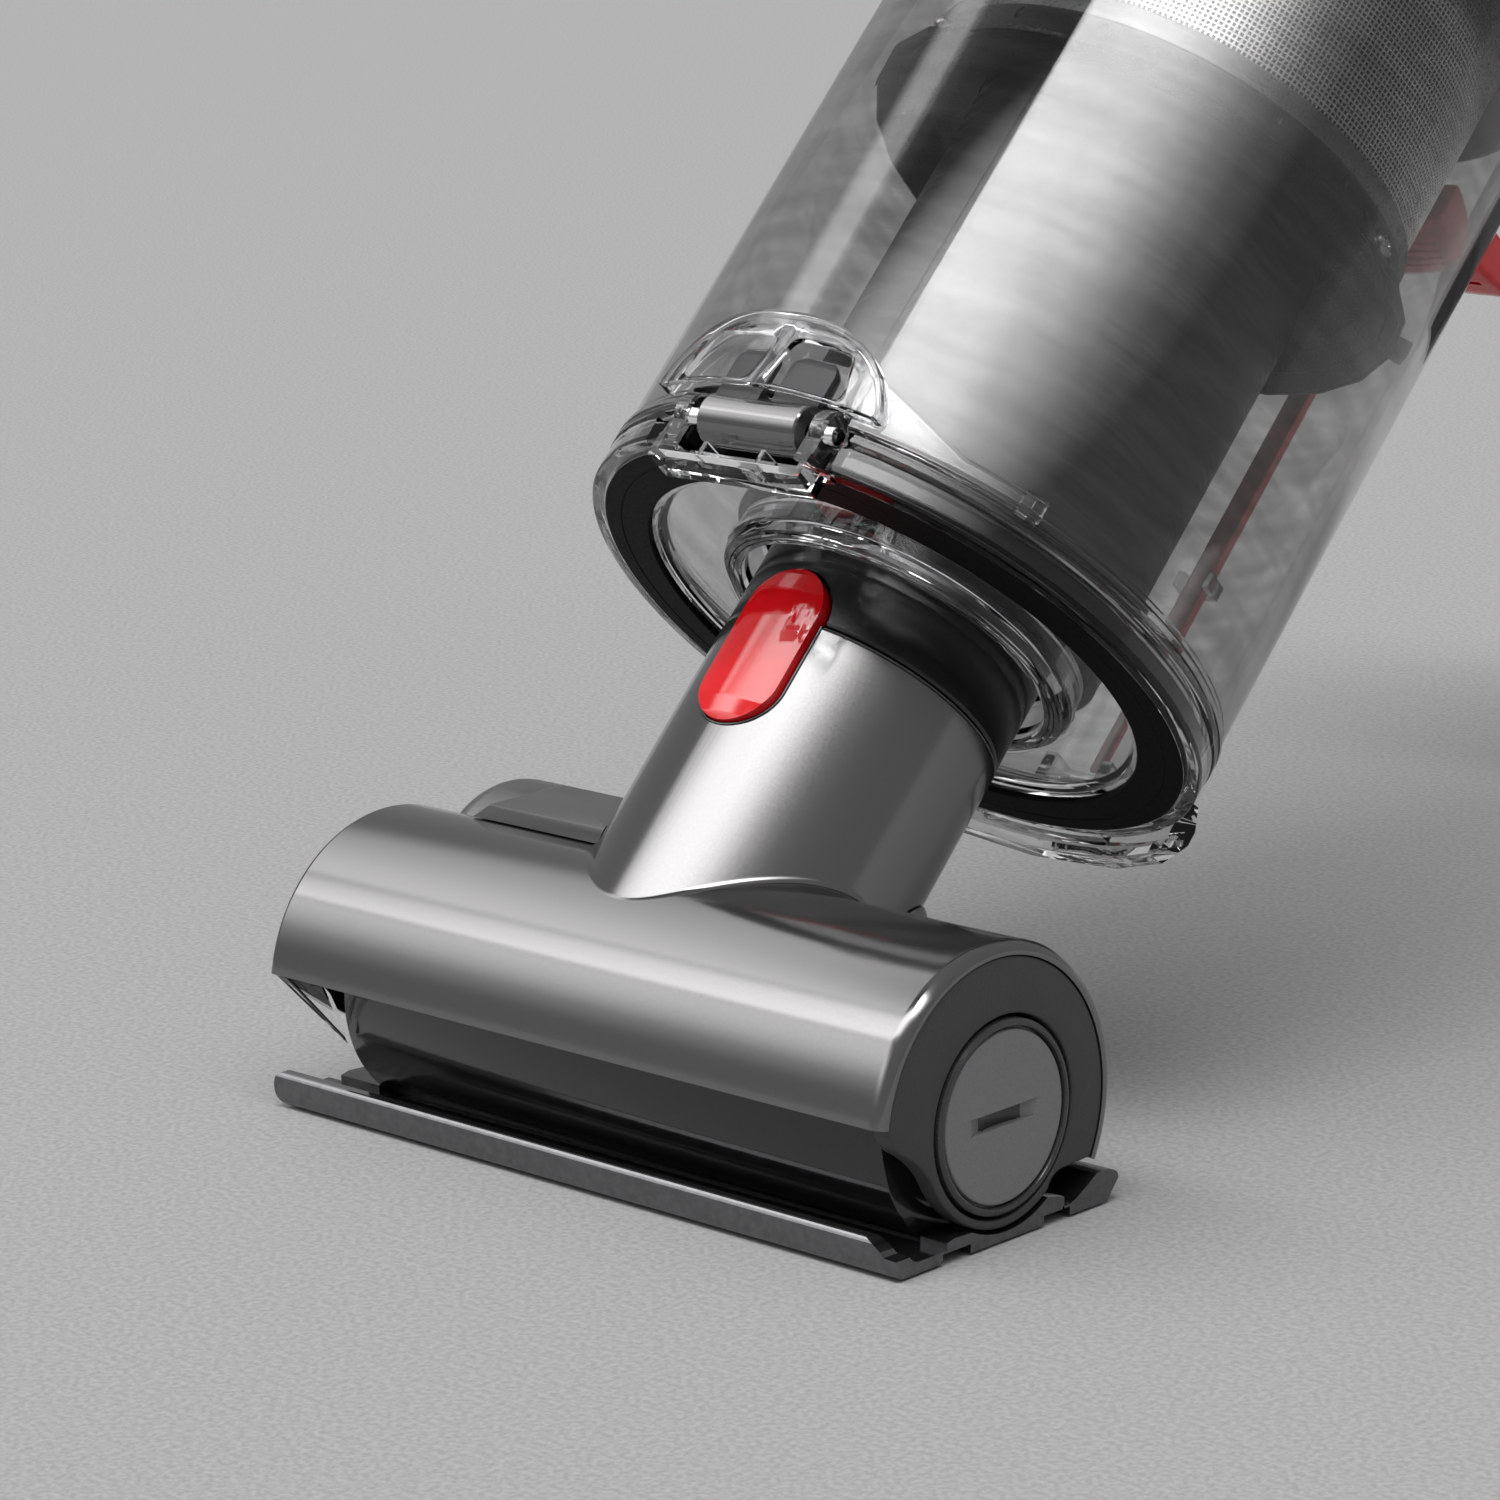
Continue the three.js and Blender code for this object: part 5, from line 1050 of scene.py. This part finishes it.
print("pack, body, motor and fan made")

# filter shell with rows of vent slots, and the pleated paper behind them
shellProfile = [(41.5, 367.4), (43.2, 367.4), (43.2, 372.3), (45.6, 372.3), (46, 372.7), (46, 410.6),
    (45.75, 411.2), (43.25, 413.7), (42.6, 414), (13, 414), (12, 413.6), (12, 411.6), (42, 411.6),
    (43.6, 410), (43.6, 374.3), (41.5, 374.3)]
filterPiece = ringPiece("filterPiece", shellProfile, 180)
slot = drawnPiece("slot", [(40, -1.1, 379)] + [(40, y, z) for y,
    z in arcPoints((0, 379), 1.1, 180, 360, 8)][1:] + [(40, y, z) for y,
    z in arcPoints((0, 404), 1.1, 0, 180, 8)], (10, 0, 0))
cutters = None
for k in range(36):
    copy = copyOf(slot)
    putPlace(copy, Matrix.Rotation(2 * math.pi * k / 36, 4, "Z"))
    cutters = copy if cutters is None else joinUp(cutters, copy)
bpy.data.objects.remove(slot)
cutAway(filterPiece, cutters)
settle(filterPiece, "filter", "texturedGrey", "filter_shell")
pleats = 56
points = []
for k in range(2 * pleats):
    reach = 35.2 if k % 2 else 42.8
    angle = math.pi * k / pleats
    points.append((reach * math.cos(angle), reach * math.sin(angle), 376.5))
paper = drawnPiece("paper", points, (0, 0, 33))
cutAway(paper, rodPiece("cut", 31.5, 370, 420, (0, 0), "Z", 80))
settle(paper, "filter", "filterPaper", "filter_media", 20)
print("filter made")

# grip halves on a soft oval, parted down the middle
grip = {"z": 331, "half": 17, "side": 15.5, "top": 44.5, "bottom": 149.8}


def gripOutline(grow, y):
    radius = 13.5 + grow
    half, side = grip["half"] + grow, grip["side"] + grow
    corners = [((side - radius, grip["z"] + half - radius), 0), ((-side + radius, grip["z"] + half - radius),
        90), ((-side + radius, grip["z"] - half + radius), 180),
        ((side - radius, grip["z"] - half + radius), 270)]
    made = []
    for centre, start in corners:
        made += arcPoints(centre, radius, start, start + 90, 14)
    return [(x, y, z) for x, z in made]


gripWhole = drawnPiece("gripWhole", gripOutline(0, grip["top"]), (0, grip["bottom"] - grip["top"], 0))
cutAway(gripWhole, turnedPiece("cut", [(0, 290), (54.35, 290), (54.35, 345), (52.6, 355.8), (46.9, 372),
    (0, 372)], 160))
cutBox(gripWhole, (-7.7, 60, 300), (7.7, 91, 318.6))
for side, name in ((-1, "left"), (1, "right")):
    half = copyOf(gripWhole)
    half.name = "grip" + name.capitalize()
    far = boxPiece("cut", (-0.12, 30, 280), (40, 170, 400)) if side < 0 else boxPiece("cut", (-40, 30, 280),
        (0.12, 170, 400))
    cutAway(half, far)
    softEdges(half, 0.3, 2, 42)
    settle(half, "machine", "gripGrey", "grip_" + name)
bpy.data.objects.remove(gripWhole)
for y in (96, 112, 128, 142):
    screw = turnedPiece("gripScrew", [(0, 0), (2.1, 0), (2.1, 0.35), (1.7, 0.7), (1.0, 0.8), (0.9, 0.25),
        (0, 0.25)], 24)
    putPlace(screw, Matrix.Translation((15.35 * mm, y * mm, 331 * mm)) @ Matrix.Rotation(math.pi / 2, 4, "Y"))
    settle(screw, "machine", "steelTurned", "", 32)
pinPiece = turnedPiece("pinPiece", [(0, -10.9), (1.1, -10.9), (1.4, -10.6), (1.4, 10.6), (1.1, 10.9),
    (0, 10.9)], 28, "X", (64, 321))
settle(pinPiece, "machine", "steelTurned", "trigger_pin", 32)
triggerOutline = [(61, 317), (61, 311.6)] + curvePoints([(61, 311.6), (74, 314.8), (88, 308.2)],
    12)[1:] + curvePoints([(88, 308.2), (90, 309.4), (89, 312)],
    6)[1:] + curvePoints([(89, 312), (76, 317.8), (68, 323)], 10)[1:] + [(64, 323.6), (61.4, 321)]
triggerPiece = drawnPiece("triggerPiece", [(-6.9, y, z) for y, z in triggerOutline], (13.8, 0, 0))
softEdges(triggerPiece, 1.1, 4, 40)
cutAway(triggerPiece, rodPiece("cut", 1.7, -20, 20, (64, 321), "X", 24))
settle(triggerPiece, "finger_trigger", "redPlastic", "trigger", 32)

# battery case with rounded corners, a seam, feet and screws
battery = {"y0": 150.4, "y1": 194.2, "z0": 262, "z1": 351.8, "half": 36}
cornerRadius = 9
corners = [((battery["half"] - cornerRadius, battery["z1"] - cornerRadius), 0),
    ((-battery["half"] + cornerRadius, battery["z1"] - cornerRadius), 90),
    ((-battery["half"] + cornerRadius, battery["z0"] + cornerRadius), 180),
    ((battery["half"] - cornerRadius, battery["z0"] + cornerRadius), 270)]
points = []
for centre, start in corners:
    points += [(x, battery["y0"], z) for x, z in arcPoints(centre, cornerRadius, start, start + 90, 12)]
casePiece = drawnPiece("casePiece", points, (0, battery["y1"] - battery["y0"], 0))
softEdges(casePiece, 2.2, 5, 40)
seam = drawnPiece("seam", [(x * 1.03, 171.6, 306.9 + (z - 306.9) * 1.03) for x, y, z in points], (0, 0.7, 0))
seamInner = drawnPiece("cut", [(x * 0.985, 171, 306.9 + (z - 306.9) * 0.985) for x, y, z in points],
    (0, 2, 0))
cutAway(seam, seamInner)
cutAway(casePiece, seam)
cutBox(casePiece, (-7.5, 149, 323.5), (7.5, 154, 338.5))
for x in (-22, 22):
    cutBox(casePiece, (x - 7, 176, 351.2), (x + 7, 179, 353))
    cutBox(casePiece, (x - 7, 182, 351.2), (x + 7, 185, 353))
settle(casePiece, "machine", "texturedGrey", "battery_case")
for x in (-28, 28):
    for z in (272, 342):
        screw = turnedPiece("caseScrew", [(0, 0), (2.3, 0), (2.3, 0.4), (1.9, 0.75), (1.1, 0.85), (1.0, 0.3),
            (0, 0.3)], 24)
        putPlace(screw, Matrix.Translation((x * mm, 193.4 * mm, z * mm)) @ Matrix.Rotation(-math.pi / 2, 4,
            "X"))
        settle(screw, "machine", "steelTurned", "", 32)
print("grip, trigger and battery made")


# brush core with its shaft, and one tuft copied along four turning strips
brush = {"left": -58.4, "right": 59.0, "turn": 99, "rows": 46, "strips": 4}
coreProfile = [(0, -65.4), (3.3, -65.4), (3.6, -65.1), (3.6, -58.4), (8.1, -58.4), (8.5, -58), (8.5, 58.6),
    (8.1, 59), (3, 59), (3, 63.9), (2.7, 64.2), (0, 64.2)]
corePiece = turnedPiece("corePiece", coreProfile, 64, "X", brushAxis)
settle(corePiece, "brush", "texturedGrey", "brush_core", place=headPlace)
tuftStep = (brush["right"] - 3.0 - (brush["left"] + 3.0)) / brush["rows"]
tuft = boxPiece("tuft", (-tuftStep / 2 - 0.15, 7.7, -1.15), (tuftStep / 2 + 0.15, 9.3, 1.15))
dress(tuft, "softRubber")
hair = None
for i in range(15):
    column, row = i % 5, i // 5
    deselectAll()
    bpy.ops.mesh.primitive_cone_add(vertices=4, radius1=0.17 * mm, radius2=0.08 * mm, depth=11.4 * mm,
        end_fill_type="TRIFAN")
    cone = bpy.context.active_object
    lean = Matrix.Rotation(math.radians(4.5 * (column - 2)), 4,
        "Z") @ Matrix.Rotation(math.radians(-90 + 3.5 * (row - 1)), 4, "X")
    putPlace(cone, Matrix.Translation(((column - 2) * 0.42 * mm, 14.1 * mm, (row - 1) * 0.62 * mm)) @ lean)
    hair = cone if hair is None else joinUp(hair, cone)
dress(hair, "redNylon")
joinUp(tuft, hair)
for k in range(brush["strips"]):
    row = []
    for i in range(brush["rows"]):
        x = brush["left"] + 3.0 + tuftStep * (i + 0.5)
        angle = math.radians(90 * k + brush["turn"] * (x - brush["left"]) / (brush["right"] - brush["left"]))
        copy = copyOf(tuft)
        putPlace(copy, Matrix.Translation((x * mm, 0, housing["brushZ"] * mm)) @ Matrix.Rotation(angle, 4,
            "X"))
        row.append(copy)
    joinUp(row[0], *row[1:])
    row[0].name = "bristleStrip" + str(k + 1)
    settle(row[0], "brush", "redNylon", "bristle_strip_" + str(k + 1), 20, place=headPlace)
bpy.data.objects.remove(tuft)
bushPiece = ringPiece("bushPiece", [(3.3, 59.4), (5.3, 59.4), (5.6, 59.6), (5.6, 60.0), (5.3, 60.2),
    (3.3, 60.2)], 40, "X", brushAxis)
settle(bushPiece, "cap", "bronze", "end_bush", place=headPlace)
print("brush made")

# toothed pulleys, belt and motor in the left end
drive = {"from": -66.1, "to": -60.4, "big": 10, "small": 4.5, "motorY": 32, "motorZ": 31, "gap": 0.3,
    "thick": 1.5}
motorAxis = (drive["motorY"], drive["motorZ"])


def toothedPiece(name, radius, teeth, centre):
    outline = []
    for i in range(teeth):
        for share, reach in ((-0.25, radius - 0.7), (-0.14, radius), (0.14, radius), (0.25, radius - 0.7)):
            angle = 2 * math.pi * (i + share) / teeth
            outline.append((drive["from"] + 0.5, centre[0] + reach * math.cos(angle),
                centre[1] + reach * math.sin(angle)))
    return drawnPiece(name, outline, (drive["to"] - drive["from"] - 1, 0, 0))


def beltOutline(grow, x):
    reach = math.hypot(drive["motorY"], drive["motorZ"] - housing["brushZ"])
    lean = math.degrees(math.atan2(drive["motorZ"] - housing["brushZ"], drive["motorY"]))
    bigReach, smallReach = drive["big"] + grow, drive["small"] + grow
    spread = math.degrees(math.acos((bigReach - smallReach) / reach))
    ring = arcPoints(brushAxis, bigReach, lean + spread, lean - spread + 360, 40) + arcPoints(motorAxis,
        smallReach, lean - spread, lean + spread, 24)
    return [(x, y, z) for y, z in ring]


brushPulley = toothedPiece("brushPulley", drive["big"], 30, brushAxis)
cutAway(brushPulley, rodPiece("cut", 3.9, -70, -50, brushAxis, "X", 32))
for x in (drive["from"], drive["to"] - 0.5):
    flange = ringPiece("flange", [(3.9, x), (drive["big"], x), (drive["big"], x + 0.45), (3.9, x + 0.45)], 48,
        "X", brushAxis)
    joinUp(brushPulley, flange)
settle(brushPulley, "brush", "satinBlack", "brush_pulley", 25, place=headPlace)
motorPulley = toothedPiece("motorPulley", drive["small"], 14, motorAxis)
for x in (drive["from"], drive["to"] - 0.5):
    joinUp(motorPulley, rodPiece("flange", drive["small"], x, x + 0.5, motorAxis, "X", 32))
settle(motorPulley, "motor_drive", "steelTurned", "motor_pulley", 25, place=headPlace)
belt = drawnPiece("belt", beltOutline(drive["gap"] + drive["thick"], drive["from"] + 0.6),
    (drive["to"] - drive["from"] - 1.2, 0, 0))
cutAway(belt, drawnPiece("cut", beltOutline(drive["gap"], drive["from"] - 1), (8, 0, 0)))
softEdges(belt, 0.2, 2, 40)
settle(belt, "head", "softRubber", "drive_belt", place=headPlace)
canProfile = [(0, -60.1), (1.5, -60.1), (1.5, -58.4), (7.8, -58.4), (8.6, -57.6), (8.6, -34), (8.3, -33.7),
    (8.3, -32.5), (8.6, -32.2), (8.6, -31.6), (8, -31), (0, -31)]
motorCan = turnedPiece("motorCan", canProfile, 56, "X", motorAxis)
settle(motorCan, "head", "steelTurned", "head_motor", place=headPlace)

# clear cheek from the housing's corner to the chamber, with its dark seam and corner
corner, upper, lower = (-69.9, -28.9, 24.7), (-60.4, -27.0, 24.3), (-60.4, -21.5, 12.4)
cheek = drawnPiece("cheek", [corner, upper, lower], (0, 0.7, 0.35))
settle(cheek, "head", "clearPlastic", "clear_cheek", 20, place=headPlace)
seamLine = drawnPiece("seamLine", [(-67.6, -28.6, 24.2), (-67.0, -28.5, 24.2), (-60.4, -22.6, 13.9),
    (-60.4, -22.3, 13.3)], (0, 0.3, 0.1))
settle(seamLine, "head", "glossBlack", "", 32, place=headPlace)
cheekCorner = drawnPiece("cheekCorner", [(-62.8, -27.6, 24.0), (-60.35, -27.2, 24.0), (-60.35, -26.0, 21.4)],
    (0, 0.4, 0.15))
settle(cheekCorner, "head", "glossBlack", "", 32, place=headPlace)
print("drive and cheek made")


# floor and studio light
deselectAll()
bpy.ops.mesh.primitive_plane_add(size=12, location=(0, 0, -0.0004))
studioFloor = bpy.context.active_object
studioFloor.name = "studioFloor"
floorFinish, floorTree, floorShader = newMaterial("floorFinish", (0.34, 0.34, 0.34), 0.8)
addGrain(floorTree, floorShader, 900, 0.25, 0.0006, None, ((0.30, 0.30, 0.30), (0.38, 0.38, 0.38)), 4.0)
studioFloor.data.materials.append(floorFinish)

# soft panels all round, as seen from the object: across and along are offsets per unit of height
panels = {
    "base": 0.3, "metal": 0.2,
    "wide": [(-1.32, 0.0), (-1.15, 0.06), (-1.0, 0.36), (-0.9, 0.47), (-0.58, 0.69), (-0.3, 0.81),
             (-0.07, 0.84),
             (0.13, 0.84), (0.31, 0.73), (0.49, 0.54), (0.66, 0.25), (0.83, 0.07), (1.1, 0.0)],
    "wideFront": [(-0.745, 0.0), (-0.715, 1.0), (-0.39, 1.0), (-0.36, 0.85), (-0.31, 0.0)],
    "wideLevel": 1.14,
    "left": [(-0.36, 0.0), (-0.27, 0.5), (-0.2, 0.46), (-0.03, 0.40), (0.15, 0.31), (0.35, 0.24),
             (0.56, 0.18),
             (0.83, 0.1), (1.2, 0.04), (1.8, 0.0)],
    "leftEdge": [(-1.25, 0.0), (-1.12, 1.0), (-0.85, 1.0), (-0.80, 0.0)],
    "front": [(0.2, 0.0), (0.26, 0.04), (0.34, 0.1), (0.44, 0.29), (0.52, 0.40), (0.60, 0.44), (0.66, 0.3),
              (0.75, 0.0)],
    "bin": [(-0.108, 0.0), (-0.095, 1.0), (0.24, 1.0), (0.43, 0.9), (0.62, 0.68), (0.85, 0.4), (1.11, 0.19),
            (1.45, 0.07), (2.2, 0.0)],
    "binAlong": [(-0.43, 0.0), (-0.39, 0.65), (-0.33, 0.9), (-0.28, 1.0), (-0.2, 1.0), (-0.1, 0.0)],
    "binLevel": 2.35,
    "gap": [(-0.75, 1.0), (-0.62, 0.2), (-0.13, 0.2), (-0.1, 1.0)],
    "gapAlong": [(-0.4, 0.0), (-0.35, 1.0), (-0.12, 1.0), (0.0, 0.0)],
}


def mathNode(tree, operation, first, second=0.0):
    made = newNode(tree, "Math")
    made.operation = operation
    for slot, value in ((0, first), (1, second)):
        if isinstance(value, (int, float)):
            made.inputs[slot].default_value = value
        else:
            tree.links.new(value, made.inputs[slot])
    return made.outputs[0]


def rampNode(tree, value, stops):
    low, high = stops[0][0], stops[-1][0]
    spread = newNode(tree, "MapRange", {"From Min": low, "From Max": high}, value, "Value")
    ramp = newNode(tree, "ValToRGB", None, spread.outputs["Result"], "Fac")
    for element, (at, level) in zip((ramp.color_ramp.elements[0], ramp.color_ramp.elements[1]),
                                    (stops[0], stops[-1])):
        element.position = (at - low) / (high - low)
        element.color = (level, level, level, 1)
    for at, level in stops[1:-1]:
        ramp.color_ramp.elements.new((at - low) / (high - low)).color = (level, level, level, 1)
    return ramp.outputs["Color"]


def product(tree, *values):
    made = values[0]
    for value in values[1:]:
        made = mathNode(tree, "MULTIPLY", made, value)
    return made


world = bpy.data.worlds.new("studio")
bpy.context.scene.world = world
world.use_nodes = True
tree = world.node_tree
sky = tree.nodes["Background"]
parts = newNode(tree, "SeparateXYZ", None, newNode(tree, "TexCoord").outputs["Generated"], "Vector")
height = mathNode(tree, "MAXIMUM", parts.outputs["Z"], 0.02)
across = mathNode(tree, "DIVIDE", parts.outputs["X"], height)
along = mathNode(tree, "DIVIDE", parts.outputs["Y"], height)
slanted = mathNode(tree, "SUBTRACT", across, product(tree, mathNode(tree, "ADD", along, 0.28), 1.2))
widePanel = product(tree, rampNode(tree, slanted, panels["wide"]), rampNode(tree, along, panels["wideFront"]),
    panels["wideLevel"])
leftPanel = product(tree, rampNode(tree, along, panels["left"]), rampNode(tree, across, panels["leftEdge"]))
frontSide = rampNode(tree, mathNode(tree, "ADD", parts.outputs["X"], parts.outputs["Y"]),
    [(-1.1, 1.0), (-0.9, 0.5), (-0.5, 0.0)])
beforeWide = rampNode(tree, along, [(-0.80, 1.0), (-0.73, 0.25), (-0.6, 0.0)])
frontPanel = product(tree, rampNode(tree, parts.outputs["Z"], panels["front"]), frontSide, beforeWide)
curved = mathNode(tree, "SUBTRACT", along, product(tree, across, across, 0.2))
binPanel = product(tree, rampNode(tree, across, panels["bin"]), rampNode(tree, curved, panels["binAlong"]),
    panels["binLevel"])
gapSide = mathNode(tree, "SUBTRACT", 1.0, rampNode(tree, across, panels["gap"]))
fill = product(tree, mathNode(tree, "SUBTRACT", 1.0, product(tree, gapSide,
    rampNode(tree, along, panels["gapAlong"]))), panels["base"])
total = mathNode(tree, "ADD", mathNode(tree, "ADD", widePanel, leftPanel),
    mathNode(tree, "ADD", frontPanel, binPanel))
level = mathNode(tree, "ADD", mathNode(tree, "DIVIDE", total, panels["metal"]), fill)
rays = newNode(tree, "LightPath")
fromCamera = mathNode(tree, "SUBTRACT", 1.0, rays.outputs["Is Camera Ray"])
plain = product(tree, rays.outputs["Is Camera Ray"], 0.62)
tree.links.new(mathNode(tree, "ADD", product(tree, level, fromCamera), plain), sky.inputs["Strength"])
sky.inputs["Color"].default_value = (1, 1, 1, 1)
bpy.context.scene.view_settings.view_transform = "Standard"
